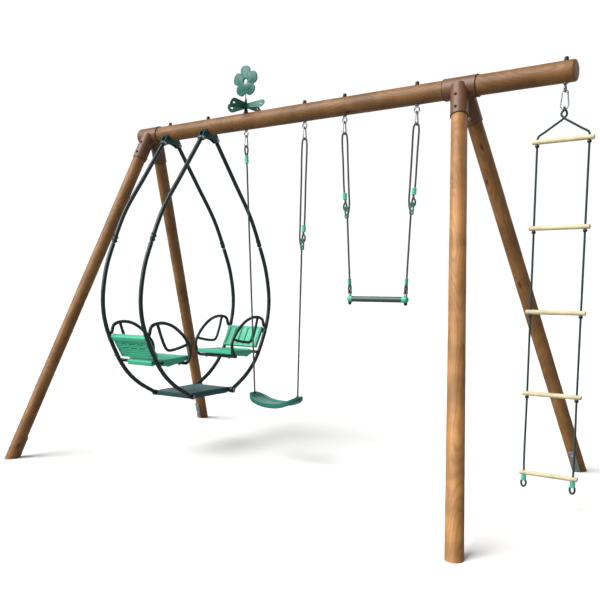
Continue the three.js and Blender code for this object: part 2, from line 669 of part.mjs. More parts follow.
function gliderHalf(half, side) {
  const group = new THREE.Group();
  for (const [name, way] of [["left", -1], ["right", 1]]) {
    const upper = named(`glider_${half}_upper_tube_${name}`, upperTube(side), tubePaint());
    const lower = named(`glider_${half}_lower_tube_${name}`, lowerTube(side), tubePaint());
    upper.position.x = (way * GLIDER_GAUGE) / 2;
    lower.position.x = (way * GLIDER_GAUGE) / 2;
    group.add(upper, lower);
  }
  group.add(named(`glider_${half}_armrest_frame`, armrestFrame(side), tubePaint()));
  group.add(named(`glider_${half}_seat_bar`, seatBar(side), tubePaint()));
  group.add(named(`glider_${half}_backrest`, backrest(side), mint()));
  group.add(named(`glider_${half}_seat_pan`, seatPan(side), mint()));
  return group;
}

// A plastic board with tabs at both ends that the two rods pass through.
function footrestBoard() {
  const width = GLIDER_GAUGE - TUBE_EYE_LENGTH - 2 * SEAT_SIDE_GAP - 8;
  const slab = new THREE.BoxGeometry(width, FOOTREST_DEPTH, FOOTREST_THICKNESS);
  const tabReach = GLIDER_BOTTOM_SPACING + 2 * (ROD_RADIUS + 6);
  const pieces = [slab];
  for (const x of [-width / 2 + FOOTREST_TAB_WIDTH, width / 2 - FOOTREST_TAB_WIDTH]) {
    const tab = new THREE.BoxGeometry(FOOTREST_TAB_WIDTH, tabReach, (ROD_RADIUS + 4) * 2);
    tab.translate(x, 0, 0);
    pieces.push(tab);
  }
  const boreRadius = ROD_RADIUS + TOUCH_GAP;
  const bores = [-1, 1].map((way) => crossRod(0, way * bottomPinY, 0, GLIDER_GAUGE * 2, boreRadius, 12));
  return geometryOf(drilled(joined(pieces), bores));
}

function gliderGroup() {
  const group = new THREE.Group();
  group.position.set(GLIDER_X, 0, GLIDER_PIVOT);
  for (const [name, way] of [["left", -1], ["right", 1]]) {
    const hanger = named(`glider_hanger_${name}`, gliderHanger(), darkTeal());
    hanger.position.x = (way * GLIDER_GAUGE) / 2;
    group.add(hanger);
  }
  group.add(gliderHalf("front", -1));
  group.add(gliderHalf("rear", 1));
  const rodLength = GLIDER_GAUGE + TUBE_EYE_LENGTH + 10;
  const footrest = new THREE.Group();
  footrest.position.z = -HOOP_DROP;
  footrest.add(named("footrest_board", footrestBoard(), darkTeal()));
  for (const [half, side] of [["front", -1], ["rear", 1]]) {
    const bar = crossRod(0, side * bottomPinY, 0, rodLength, ROD_RADIUS);
    footrest.add(named(`footrest_${half}_rod`, bar, tubePaint()));
  }
  group.add(footrest);
  return group;
}

// ---- Swing ----
// What is cut from the four corners of the seat's strip, so that its ends are round from above.
function seatCorners(depth) {
  const x = SWING_SEAT_LENGTH / 2;
  const y = SWING_SEAT_DEPTH / 2;
  const r = SWING_SEAT_CORNER;
  const cutters = [];
  for (const [sx, sy] of [[-1, -1], [-1, 1], [1, -1], [1, 1]]) {
    const arc = [];
    for (let i = 0; i <= 8; i += 1) {
      const angle = (i * Math.PI) / 16;
      arc.push(new THREE.Vector2(sx * (x - r + r * Math.sin(angle)), sy * (y - r + r * Math.cos(angle))));
    }
    const outline = new THREE.Shape(arc);
    outline.lineTo(sx * (x + 2), sy * (y - r));
    outline.lineTo(sx * (x + 2), sy * (y + 2));
    outline.lineTo(sx * (x - r), sy * (y + 2));
    const cutter = new THREE.ExtrudeGeometry(outline, { depth: depth + 5, bevelEnabled: false });
    cutter.translate(0, 0, -depth);
    cutters.push(cutter);
  }
  return cutters;
}

// The seat is a strip that sags between two level ears, each with a hole for its rope.
function swingSeat() {
  const half = SWING_SEAT_LENGTH / 2;
  const ear = (SWING_SEAT_LENGTH - SWING_SEAT_ROPES) / 2 + ROPE_RADIUS * 3;
  const dip = SWING_SEAT_SAG;
  const t = SWING_SEAT_THICKNESS;
  const outline = new THREE.Shape();
  outline.moveTo(-half, 0);
  outline.lineTo(-half, -t * 0.7);
  outline.bezierCurveTo(-half + ear, -t, -half + ear, -dip - t, 0, -dip - t);
  outline.bezierCurveTo(half - ear, -dip - t, half - ear, -t, half, -t * 0.7);
  outline.lineTo(half, 0);
  outline.lineTo(half - ear, 0);
  outline.bezierCurveTo(half - ear * 1.6, -dip, ear, -dip, 0, -dip);
  outline.bezierCurveTo(-ear, -dip, -half + ear * 1.6, -dip, -half + ear, 0);
  const across = { depth: SWING_SEAT_DEPTH, bevelEnabled: false, curveSegments: 8 };
  const strip = new THREE.ExtrudeGeometry(outline, across);
  strip.rotateX(Math.PI / 2);
  strip.translate(0, SWING_SEAT_DEPTH / 2, 0);
  const holes = [-1, 1].map((way) => post((way * SWING_SEAT_ROPES) / 2, 0, -t * 3, t, ROPE_RADIUS + LINK_GAP, 10));
  return geometryOf(drilled(solid(strip), [...holes, ...seatCorners(dip + t + 5)]));
}

function swingGroup() {
  const group = new THREE.Group();
  group.position.set(SWING_X, 0, HANGING_PIVOT);
  for (const [name, way] of [["left", -1], ["right", 1]]) {
    const hook = (way * SWING_HOOKS) / 2;
    const hoopLink = named(`swing_carabiner_${name}`, carabiner(CARABINER_LENGTH, CARABINER_WIDTH), zinc());
    hoopLink.position.x = hook;
    const top = new THREE.Vector3(hook, 0, ropeTop(CARABINER_LENGTH));
    const bottom = new THREE.Vector3((way * SWING_SEAT_ROPES) / 2, 0, SWING_ROPE_END - HANGING_PIVOT);
    group.add(hoopLink, named(`swing_rope_${name}`, rod(top, bottom, ROPE_RADIUS, 8), ropeFibre()));
  }
  const seat = named("swing_seat", swingSeat(), teal());
  seat.position.z = SWING_ROPE_END - HANGING_PIVOT - 4;
  group.add(seat);
  return group;
}

// ---- Trapeze ----
function trapezeBar() {
  const capX = (TRAPEZE_BAR_LENGTH - TRAPEZE_CAP_LENGTH) / 2;
  const body = joined([
    crossRod(0, 0, 0, TRAPEZE_BAR_LENGTH - TRAPEZE_CAP_LENGTH, TRAPEZE_BAR_RADIUS, 16),
    crossRod(-capX, 0, 0, TRAPEZE_CAP_LENGTH, TRAPEZE_CAP_RADIUS, 16),
    crossRod(capX, 0, 0, TRAPEZE_CAP_LENGTH, TRAPEZE_CAP_RADIUS, 16),
  ]);
  const reach = TRAPEZE_CAP_RADIUS * 2;
  const boreRadius = BOLT_RADIUS + TOUCH_GAP;
  const bores = [-1, 1].map((way) => post((way * TRAPEZE_BAR_ROPES) / 2, 0, -reach, reach, boreRadius, 10));
  return geometryOf(drilled(body, bores));
}

// A small ring on a shank that goes down through the bar.
function barEye() {
  const shankEnd = -TRAPEZE_CAP_RADIUS - BOLT_STICK_OUT;
  const shankTop = TRAPEZE_EYE_RISE - TRAPEZE_EYE_RADIUS;
  const eye = ring(TRAPEZE_EYE_RADIUS, EYE_WIRE, 12);
  eye.translate(0, 0, TRAPEZE_EYE_RISE);
  return geometryOf(joined([eye, post(0, 0, shankEnd, shankTop, BOLT_RADIUS, 10)]));
}

function trapezeGroup() {
  const group = new THREE.Group();
  group.position.set(TRAPEZE_X, 0, HANGING_PIVOT);
  const barZ = TRAPEZE_BAR_HEIGHT - HANGING_PIVOT;
  const ropeEnd = barZ + TRAPEZE_EYE_RISE + TRAPEZE_EYE_RADIUS + EYE_WIRE + 4;
  for (const [name, way] of [["left", -1], ["right", 1]]) {
    const hook = (way * TRAPEZE_HOOKS) / 2;
    const low = (way * TRAPEZE_BAR_ROPES) / 2;
    const link = named(`trapeze_carabiner_${name}`, carabiner(CARABINER_LENGTH, CARABINER_WIDTH), zinc());
    link.position.x = hook;
    const top = new THREE.Vector3(hook, 0, ropeTop(CARABINER_LENGTH));
    const bottom = new THREE.Vector3(low, 0, ropeEnd);
    const eye = named(`trapeze_bar_eye_${name}`, barEye(), zinc());
    eye.position.set(low, 0, barZ);
    group.add(link, eye, named(`trapeze_rope_${name}`, rod(top, bottom, ROPE_RADIUS, 8), ropeFibre()));
  }
  const bar = named("trapeze_bar", trapezeBar(), darkTeal());
  bar.position.z = barZ;
  group.add(bar);
  return group;
}

// ---- Rope ladder ----
const rungHeight = (i) => LOWEST_RUNG + i * RUNG_SPACING - HANGING_PIVOT;

// One rope folded at the top: down one side, up to the carabiner and down the other.
function ladderRope() {
  const half = LADDER_ROPES / 2;
  const tail = rungHeight(0) - LADDER_ROPE_TAIL;
  const shoulder = rungHeight(LADDER_RUNGS - 1) + RUNG_RADIUS * 2;
  const top = ropeTop(LADDER_CARABINER_LENGTH);
  const apex = top - ROPE_RADIUS * 2;
  const corner = (x, z) => new THREE.Vector3(x, 0, z);
  const pieces = [-1, 1].map((way) =>
    solid(rod(corner(way * half, tail), corner(way * half, shoulder), ROPE_RADIUS, 8)).add(
      solid(rod(corner(way * half, shoulder - 1), corner(0, apex), ROPE_RADIUS, 8)),
    ),
  );
  const eye = solid(rod(corner(0, apex - ROPE_RADIUS), corner(0, top), ROPE_RADIUS, 8));
  return geometryOf(pieces[0].add(pieces[1]).add(eye));
}

function rung() {
  const reach = RUNG_RADIUS * 2;
  const holes = [-1, 1].map((way) => post((way * LADDER_ROPES) / 2, 0, -reach, reach, ROPE_RADIUS + TOUCH_GAP, 8));
  return geometryOf(drilled(solid(crossRod(0, 0, 0, RUNG_LENGTH, RUNG_RADIUS, 14)), holes));
}

function ladderGroup() {
  const group = new THREE.Group();
  group.position.set(LADDER_X, 0, HANGING_PIVOT);
  const link = named("ladder_carabiner", carabiner(LADDER_CARABINER_LENGTH, LADDER_CARABINER_WIDTH), zinc());
  link.rotation.z = Math.PI / 2;
  group.add(link);
  group.add(named("ladder_rope", ladderRope(), ropeFibre()));
  for (let i = 0; i < LADDER_RUNGS; i += 1) {
    const step = named(`ladder_rung_${i + 1}`, rung(), paleWood());
    step.position.z = rungHeight(LADDER_RUNGS - 1 - i);
    group.add(step);
  }
  return group;
}

const swingSet = new THREE.Group();
swingSet.position.x = -CENTRE_X;
swingSet.add(frameGroup(), spinnerGroup(), gliderGroup(), swingGroup(), trapezeGroup(), ladderGroup());

export default swingSet;
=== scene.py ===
# %% [markdown]
# # A round-pole swing set
# Two A-frames of turned poles carry a beam with a wind spinner on top. A face-to-face glider, a
# swing, a trapeze and a rope ladder hang from it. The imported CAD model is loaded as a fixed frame,
# and each cell models one kind of piece round it, in metres.

# %% Load the frame and keep the CAD box
import math
from contextlib import contextmanager

import bmesh
import bpy
from mathutils import Matrix, Vector


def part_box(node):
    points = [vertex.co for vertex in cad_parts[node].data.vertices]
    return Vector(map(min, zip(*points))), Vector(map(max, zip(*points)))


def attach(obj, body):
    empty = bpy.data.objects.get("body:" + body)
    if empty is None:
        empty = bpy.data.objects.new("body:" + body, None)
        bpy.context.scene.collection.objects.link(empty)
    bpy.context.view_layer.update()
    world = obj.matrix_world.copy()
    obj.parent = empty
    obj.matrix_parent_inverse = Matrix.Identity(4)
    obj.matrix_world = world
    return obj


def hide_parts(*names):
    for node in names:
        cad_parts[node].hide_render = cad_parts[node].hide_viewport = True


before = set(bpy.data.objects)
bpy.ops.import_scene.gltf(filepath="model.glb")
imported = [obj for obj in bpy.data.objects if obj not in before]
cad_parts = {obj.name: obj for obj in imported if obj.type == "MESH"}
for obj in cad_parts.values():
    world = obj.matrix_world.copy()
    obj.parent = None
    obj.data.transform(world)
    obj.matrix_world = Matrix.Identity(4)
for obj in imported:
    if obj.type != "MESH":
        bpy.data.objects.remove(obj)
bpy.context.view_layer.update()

# %% [markdown]
# The camera stands a little right of the set, about at a grown-up's chest, and looks slightly
# down. Upright posts stay upright if the picture is shifted in the lens instead of tilting the
# camera more, which is how a product photographer frames a tall object.

# %% Camera
EYE_POINT = Vector((2.796, -3.882, 1.199))
TURN_LEFT = 0.622
LOOK_DOWN = 0.135


def looking(turn, down):
    """The direction that a camera looks in, turned left from +Y and tipped down, in radians."""
    return Vector(
        (-math.sin(turn) * math.cos(down), math.cos(turn) * math.cos(down), -math.sin(down))
    )


camera = bpy.data.objects.new("camera", bpy.data.cameras.new("camera"))
bpy.context.scene.collection.objects.link(camera)
camera.location = EYE_POINT
camera.rotation_euler = looking(TURN_LEFT, LOOK_DOWN).to_track_quat("-Z", "Y").to_euler()
camera.data.lens = 45.4
camera.data.sensor_width = 36
camera.data.shift_y = 0.137
bpy.context.scene.camera = camera
print("camera at", tuple(camera.location))

# %% [markdown]
# Some tools are used by every cell. A piece is placed by changing its mesh, so that its object
# stays at the origin, and it is then given its material, the body it moves with, and the CAD
# nodes it stands for.

# %% Small tools
def deselect():
    bpy.ops.object.select_all(action="DESELECT")


def take(obj):
    """Makes one object the only selected one."""
    deselect()
    obj.select_set(True)
    bpy.context.view_layer.objects.active = obj
    return obj


@contextmanager
def editing(obj, chosen="SELECT"):
    """Edit mode on one object, with all of it or nothing selected at first."""
    take(obj)
    bpy.ops.object.mode_set(mode="EDIT")
    bpy.ops.mesh.select_all(action=chosen)
    yield bmesh.from_edit_mesh(obj.data)
    bpy.ops.object.mode_set(mode="OBJECT")


def added(name):
    """The primitive that was just added, with its place moved into its mesh."""
    obj = bpy.context.object
    bpy.ops.object.transform_apply(location=True, rotation=True, scale=True)
    obj.name = name
    return obj


def copied(obj, name, matrix):
    """A copy with a mesh of its own, moved by a matrix."""
    new = obj.copy()
    new.data = obj.data.copy()
    new.name = name
    bpy.context.scene.collection.objects.link(new)
    new.data.transform(matrix)
    return new


def joined(name, objects):
    take(objects[0])
    for obj in objects:
        obj.select_set(True)
    if len(objects) > 1:
        bpy.ops.object.join()
    bpy.context.object.name = name
    return bpy.context.object


def modified(obj, kind, **settings):
    take(obj)
    modifier = obj.modifiers.new(kind.lower(), kind)
    for key, value in settings.items():
        setattr(modifier, key, value)
    bpy.ops.object.modifier_apply(modifier=modifier.name)
    return obj


def bevelled(obj, width, segments, angle):
    limit = {"limit_method": "ANGLE", "angle_limit": math.radians(angle)}
    return modified(obj, "BEVEL", width=width, segments=segments, **limit)


def softened(obj, width, segments=2, angle=35):
    """Rounds the sharp edges and shades the rest smooth."""
    bevelled(obj, width, segments, angle)
    bpy.ops.object.shade_smooth_by_angle(angle=math.radians(angle))
    return obj


def smoothed(obj, angle=40):
    take(obj)
    bpy.ops.object.shade_smooth_by_angle(angle=math.radians(angle))
    return obj


def outwards(obj):
    """Turns every face to the outside."""
    with editing(obj):
        bpy.ops.mesh.normals_make_consistent(inside=False)
    return obj


def standing(point, direction, spin=0.0):
    """The matrix that carries a piece modelled along +Z to a point, with +Z along a direction."""
    turn = Vector(direction).to_track_quat("Z", "Y").to_matrix().to_4x4()
    return Matrix.Translation(Vector(point)) @ turn @ Matrix.Rotation(spin, 4, "Z")


def moved(obj, matrix):
    obj.data.transform(matrix)
    return obj


def piece(obj, material, body, slot, *nodes):
    """Gives a piece its material and body and hides the CAD nodes it replaces; slot is not used."""
    obj.data.materials.clear()
    obj.data.materials.append(material)
    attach(obj, body)
    if nodes:
        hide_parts(*nodes)
    return obj


def middle(node):
    low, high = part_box(node)
    return (low + high) / 2


BEAM = middle("crossbeam")
BEAM_RADIUS = (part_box("crossbeam")[1].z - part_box("crossbeam")[0].z) / 2
BEAM_TOP = BEAM.z + BEAM_RADIUS
print("beam axis at", round(BEAM.z, 4), "radius", round(BEAM_RADIUS, 4))

# %% [markdown]
# A shader tree can be drawn by hand or written down. Writing it needs two little helpers: one
# adds a node and either links or sets each input, the other does sums. Groups hold the effects
# that several finishes share.

# %% Shader helpers
def shader(tree, kind, inputs=None, **settings):
    """Adds a node; an input given a socket is linked, and any other value is set."""
    node = tree.nodes.new(kind)
    for key, value in settings.items():
        setattr(node, key, value)
    for key, value in (inputs or {}).items():
        if isinstance(value, bpy.types.NodeSocket):
            tree.links.new(value, node.inputs[key])
        else:
            node.inputs[key].default_value = value
    return node


def sums(tree, operation, a, b=0.0, c=0.0):
    return shader(tree, "ShaderNodeMath", {0: a, 1: b, 2: c}, operation=operation).outputs[0]


def stretched(tree, vector, factors):
    """A vector with each of its parts multiplied."""
    inputs = {0: vector, 1: factors}
    return shader(tree, "ShaderNodeVectorMath", inputs, operation="MULTIPLY").outputs[0]


def noise(tree, vector, scale, detail, **more):
    inputs = {"Vector": vector, "Scale": scale, "Detail": detail, **more}
    return shader(tree, "ShaderNodeTexNoise", inputs).outputs


def step_between(tree, value, low, high):
    """0 below low, 1 above high, and smooth between them."""
    inputs = {"Value": value, "From Min": low, "From Max": high}
    return shader(tree, "ShaderNodeMapRange", inputs, interpolation_type="SMOOTHSTEP").outputs[0]


def blended(tree, factor, a, b, how="MIX"):
    """Mixes two colours."""
    node = shader(tree, "ShaderNodeMix", {0: factor, 6: a, 7: b}, data_type="RGBA", blend_type=how)
    return node.outputs[2]


def group(name, inputs, outputs):
    """An empty node group with named float, vector or colour sockets."""
    tree = bpy.data.node_groups.new(name, "ShaderNodeTree")
    for label, kind, value in inputs:
        socket = tree.interface.new_socket(label, in_out="INPUT", socket_type=f"NodeSocket{kind}")
        if value is not None:
            socket.default_value = value
    for label, kind in outputs:
        tree.interface.new_socket(label, in_out="OUTPUT", socket_type=f"NodeSocket{kind}")
    return tree, tree.nodes.new("NodeGroupInput").outputs, tree.nodes.new("NodeGroupOutput").inputs


def use(tree, source, inputs):
    """Places a node group in a material."""
    return shader(tree, "ShaderNodeGroup", inputs, node_tree=source).outputs


def new_material(name, roughness=0.5, metallic=0.0, specular=0.5):
    """A material with its plain values on the shader's own sockets."""
    material = bpy.data.materials.new(name)
    material.use_nodes = True
    surface = material.node_tree.nodes["Principled BSDF"]
    surface.inputs["Roughness"].default_value = roughness
    surface.inputs["Metallic"].default_value = metallic
    surface.inputs["Specular IOR Level"].default_value = specular
    return material, material.node_tree, surface


def dress(tree, surface, colour=None, roughness=None, height=None, distance=0.001, strength=1.0):
    """Feeds a shader from the sockets that change over the surface."""
    if colour is not None:
        tree.links.new(colour, surface.inputs["Base Color"])
    if roughness is not None:
        tree.links.new(roughness, surface.inputs["Roughness"])
    if height is not None:
        bump = shader(
            tree, "ShaderNodeBump", {"Height": height, "Distance": distance, "Strength": strength}
        )
        tree.links.new(bump.outputs["Normal"], surface.inputs["Normal"])

# %% [markdown]
# The ropes are braided polyester, eight strands plaited round a core. The plait could be modelled
# strand by strand, but at 11 mm across it is a surface, so two crossing sets of slanted bands are
# drawn on the rope's own UV map, which counts metres round and along it.

# %% Braid group and rope finishes
ROPE_RADIUS = 0.0055

braid, given, put = group(
    "braid",
    [("Round and along", "Vector", None), ("Strands", "Float", 8.0), ("Pitch", "Float", 0.012)],
    [("Height", "Float"), ("Shade", "Float")],
)
apart = shader(braid, "ShaderNodeSeparateXYZ", {0: given["Round and along"]}).outputs
turns = sums(braid, "MULTIPLY", apart[0], given["Strands"])
rise = sums(braid, "DIVIDE", apart[1], given["Pitch"])
one_way = sums(braid, "PINGPONG", sums(braid, "ADD", turns, rise), 0.5)
other_way = sums(braid, "PINGPONG", sums(braid, "SUBTRACT", turns, rise), 0.5)
crest = sums(braid, "MAXIMUM", one_way, other_way)
fuzz = noise(braid, given["Round and along"], 900.0, 2.0)["Fac"]
rough_crest = sums(braid, "MULTIPLY_ADD", fuzz, 0.12, crest)
braid.links.new(rough_crest, put["Height"])
# Painted shade: the Shade output marks the valleys between strands, which the rope finishes colour
# darker.
braid.links.new(step_between(braid, rough_crest, 0.2, 0.55), put["Shade"])


def rope_finish(name, dark, light):
    """Braided rope, with painted shade darkening the valleys between its strands."""
    material, tree, surface = new_material(name, roughness=0.8, specular=0.3)
    uv = shader(tree, "ShaderNodeUVMap", uv_map="along_rope").outputs[0]
    made = use(tree, braid, {"Round and along": uv})
    dress(tree, surface, blended(tree, made["Shade"], dark, light), None, made["Height"], 0.0016)
    surface.inputs["Sheen Weight"].default_value = 0.25
    return material


slate_rope = rope_finish("slate_rope", (0.022, 0.032, 0.032, 1), (0.085, 0.115, 0.112, 1))
green_rope = rope_finish("green_rope", (0.006, 0.020, 0.017, 1), (0.026, 0.075, 0.062, 1))
print("braid group and", len(bpy.data.materials), "rope finishes")

# %% [markdown]
# A rope is a round tube that follows a smooth line through a few given points. The line
# is a centripetal curve, which passes through its points without overshooting. The tube is made
# ring by ring, so that its UV map can be given in metres.

# %% Smooth lines and the rope maker
def smooth_line(points, step):
    """Points about a step apart on the centripetal curve through the given points."""
    points = [Vector(p) for p in points]
    whole = [2 * points[0] - points[1], *points, 2 * points[-1] - points[-2]]
    line = [points[0]]
    for a, b, c, d in zip(whole, whole[1:], whole[2:], whole[3:]):
        before, here, after = [
            max((q - p).length, 1e-9) ** 0.5 for p, q in ((a, b), (b, c), (c, d))
        ]
        start = ((b - a) / before - (c - a) / (before + here) + (c - b) / here) * here
        end = ((c - b) / here - (d - b) / (here + after) + (d - c) / after) * here
        count = max(1, round((c - b).length / step))
        for i in range(1, count + 1):
            t = i / count
            line.append(
                b * (2 * t**3 - 3 * t**2 + 1) + start * (t**3 - 2 * t**2 + t)
                + c * (3 * t**2 - 2 * t**3) + end * (t**3 - t**2)
            )
    return line


def length_of(line):
    return sum((b - a).length for a, b in zip(line, line[1:]))


def rope(name, points, material, sides=14, step=0.006):
    """A braided rope along a smooth line. Gives the rope and the line."""
    line = smooth_line(points, step)
    across = (line[1] - line[0]).orthogonal().normalized()
    verts, along, gone = [], [], 0.0
    for i, here in enumerate(line):
        ahead = (line[min(i + 1, len(line) - 1)] - line[max(i - 1, 0)]).normalized()
        across = (across - ahead * across.dot(ahead)).normalized()
        up = ahead.cross(across)
        gone += (here - line[i - 1]).length if i else 0.0
        along.append(gone)
        for k in range(sides):
            turn = 2 * math.pi * k / sides
            verts.append(here + ROPE_RADIUS * (math.cos(turn) * across + math.sin(turn) * up))
    faces = [
        (
            i * sides + k, i * sides + (k + 1) % sides, (i + 1) * sides + (k + 1) % sides,
            (i + 1) * sides + k
        )
        for i in range(len(line) - 1)
        for k in range(sides)
    ]
    last = (len(line) - 1) * sides
    faces += [tuple(range(sides - 1, -1, -1)), tuple(range(last, last + sides))]
    mesh = bpy.data.meshes.new(name)
    mesh.from_pydata(verts, [], faces)
    uv = mesh.uv_layers.new(name="along_rope").data
    for i in range(len(line) - 1):
        for k in range(sides):
            for corner, (u, v) in enumerate(((k, i), (k + 1, i), (k + 1, i + 1), (k, i + 1))):
                uv[4 * (i * sides + k) + corner].uv = (u / sides, along[v])
    obj = bpy.data.objects.new(name, mesh)
    bpy.context.scene.collection.objects.link(obj)
    obj.data.materials.append(material)
    smoothed(obj)
    return obj, line


# %% [markdown]
# Each rope's route is settled from the CAD: it hangs over the lowest wire of its carabiner. An
# adjustable rope comes up single from below, passes through its adjuster, goes up, over the
# carabiner and down again, and ends in a crimped eye that holds the adjuster. A small eye has
# the same few points everywhere, so it is listed once.

# %% The ropes' eyes
EYE_HALF_WIDTH = 0.0125
STRAND = 0.0058  # half the distance between two strands that lie side by side


def small_eye(top, bottom):
    """(sideways, height) from a ferrule round an eye and back to it."""
    way = 1 if top > bottom else -1
    return [
        (STRAND, top),
        (EYE_HALF_WIDTH, bottom + way * 0.026),
        (0.0095, bottom + way * 0.0075),
        (0, bottom),
        (-0.0095, bottom + way * 0.0075),
        (-EYE_HALF_WIDTH, bottom + way * 0.026),
        (-STRAND, top),
    ]


WIRE_RADIUS = 0.004
OVER_WIRE = WIRE_RADIUS + ROPE_RADIUS


def lean(low_x, low_z, hook_x, hook_z):
    """A function that gives the x of a leaning rope's middle line at a height."""
    return lambda z: low_x + (hook_x - low_x) * (z - low_z) / (hook_z - low_z)


def lowest_wire(carabiner):
    low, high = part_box(carabiner)
    return (low.x + high.x) / 2, low.z + WIRE_RADIUS


# %% [markdown]
# The swing's left rope is cut to length: an eye at the carabiner, a crimp, and one strand down to
# the seat. The right one is doubled, with the adjuster that levels the seat.

# %% Swing ropes
SWING = middle("swing_seat")
SEAT_ROPES = 0.176
SEAT_HOLE = 0.452
ropes = {}

hook_x, wire_z = lowest_wire("swing_carabiner_left")
over = wire_z + OVER_WIRE
line_x = lean(SWING.x - SEAT_ROPES, SEAT_HOLE, hook_x, over)
eye = [(STRAND, over - 0.104)] + small_eye(over - 0.060, over) + [(0, over - 0.12)]
single = [(0, z) for z in (1.8, 1.5, 1.2, 0.9, 0.6, SEAT_HOLE)]
route = [(line_x(z) + x, 0, z) for x, z in eye + single]
ropes["swing_left"] = rope("swing_rope_left_braid", route, slate_rope)
left_line = line_x

hook_x, wire_z = lowest_wire("swing_carabiner_right")
over = wire_z + OVER_WIRE
line_x = lean(SWING.x + SEAT_ROPES, SEAT_HOLE, hook_x, over)
DOUBLED = 0.0165  # half the distance between the two strands above an adjuster


def doubled(ferrule, adjuster, below):
    """(sideways, height) from the end in the upper ferrule to the rope below the adjuster."""
    return (
        [(-0.007, ferrule - 0.036)]
        + [(-0.0125, ferrule - 0.055), (-0.0225, ferrule - 0.072), (-0.021, ferrule - 0.094)]
        + [(-0.0125, ferrule - 0.100), (-0.004, ferrule - 0.094), (-0.0035, ferrule - 0.072)]
        + [(-0.012, ferrule - 0.036), (-DOUBLED, ferrule + 0.02), (-DOUBLED, (ferrule + over) / 2)]
        + [(-DOUBLED, over - 0.026), (-0.011, over - 0.006), (0, over)]
        + [(0.011, over - 0.006), (DOUBLED, over - 0.026), (DOUBLED, (ferrule + over) / 2)]
        + [
            (DOUBLED, ferrule), (DOUBLED, adjuster + 0.06), (0.010, adjuster + 0.02),
            (0.002, adjuster)
        ]
        + [(0, z) for z in below]
    )


route = doubled(1.531, 1.395, (1.33, 1.1, 0.9, 0.7, SEAT_HOLE))
route = [(line_x(z) - x, 0, z) for x, z in route]
ropes["swing_right"] = rope("swing_rope_right_braid", route, slate_rope)
right_line = line_x
for side in ("left", "right"):
    print("swing rope", side, round(length_of(ropes[f"swing_{side}"][1]), 3), "m")

# %% [markdown]
# The trapeze hangs on two adjustable ropes. At the bar each ends in another crimped eye, turned
# square to the bar so that it hangs in the eye bolt's ring.

# %% Trapeze ropes
BAR = middle("trapeze_bar")
bar_lines = {}
for side in ("left", "right"):
    hook_x, wire_z = lowest_wire(f"trapeze_carabiner_{side}")
    over = wire_z + OVER_WIRE
    eye_low, eye_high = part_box(f"trapeze_bar_eye_{side}")
    bar_x = (eye_low.x + eye_high.x) / 2
    loop_z = eye_high.z - 0.009 - ROPE_RADIUS
    line_x = lean(bar_x, loop_z, hook_x, over)
    upper = doubled(1.705, 1.575, (1.5, 1.4, 1.3))
    lower = [(0, 1.20)] + small_eye(1.170, loop_z) + [(STRAND * 0.6, 1.200)]
    way = 1 if side == "left" else -1
    route = [(line_x(z) + way * x, 0, z) for x, z in upper] + [(line_x(z), -y, z) for y, z in lower]
    ropes[f"trapeze_{side}"] = rope(f"trapeze_rope_{side}_braid", route, slate_rope)
    bar_lines[side] = line_x
    print("trapeze rope", side, round(length_of(ropes[f"trapeze_{side}"][1]), 3), "m")

# %% [markdown]
# The ladder is one long rope. It starts in an eye under the lowest rung, threads all the rungs on
# its way up, forms a little eye for the carabiner, and goes down the other side.

# %% Ladder rope
LADDER = middle("ladder_rung_1")
RUNG_ROPES = 0.127
hook_x, wire_z = lowest_wire("ladder_carabiner")
over = wire_z + OVER_WIRE
LOWEST_RUNG = middle("ladder_rung_5").z


def ladder_side(way):
    """One side of the ladder's rope, from its lower end to the crossing under the carabiner."""
    end = [(way * x, z) for x, z in small_eye(LOWEST_RUNG - 0.036, LOWEST_RUNG - 0.077)]
    side = [(way * RUNG_ROPES + x, 0, z) for x, z in end]
    side += [
        (way * RUNG_ROPES, 0, z) for z in (LOWEST_RUNG, 0.6, 1.0, 1.4, LADDER.z, LADDER.z + 0.012)
    ]
    low, high = LADDER.z + 0.026, over - 0.056
    slant = [
        (way * (0.122 - 0.114 * t), -way * 0.004 * t, low + (high - low) * t)
        for t in (0, 0.3, 0.6, 0.9, 1)
    ]
    return side + slant + [
        (-way * 0.0115, -way * 0.005, over - 0.036),
        (-way * 0.0120, way * 0.002, over - 0.022),
        (-way * 0.0040, way * 0.0095, over - 0.010),
        (-way * 0.0005, way * 0.0060, over - 0.002),
    ]


route = ladder_side(-1) + [(0, 0, over)] + ladder_side(1)[::-1]
route = [(LADDER.x + x, y, z) for x, y, z in route]
ropes["ladder"] = rope("ladder_rope_braid", route, green_rope)
print("ladder rope", round(length_of(ropes["ladder"][1]), 3), "m, through", len(route), "points")

# %% [markdown]
# The floor is a plain pale disc, and the main light is a big soft window from the upper left. A
# bright screen stands behind the set, and the rest of the room is dimmer, as in a product studio,
# so that the sides away from the window fall into shade. The floor looks white but throws little
# light back up, as a floor further away would. What the lens sees past the floor is plain white.

# %% Floor and studio light
ROOM = 0.20  # brightness of the room, where the screen is about 1
bpy.ops.mesh.primitive_circle_add(vertices=96, radius=60, fill_type="NGON", location=(0, 0, 0))
floor = added("studio_floor")
paint, tree, surface = new_material("pale_floor", roughness=0.9, specular=0.1)
mottle = shader(tree, "ShaderNodeTexNoise", {"Scale": 0.6})
tone = blended(tree, mottle.outputs["Fac"], (0.93, 0.93, 0.94, 1), (0.96, 0.96, 0.97, 1))
seen = shader(tree, "ShaderNodeLightPath").outputs["Is Camera Ray"]
dress(tree, surface, blended(tree, seen, (0.30, 0.30, 0.30, 1), tone))
floor.data.materials.append(paint)

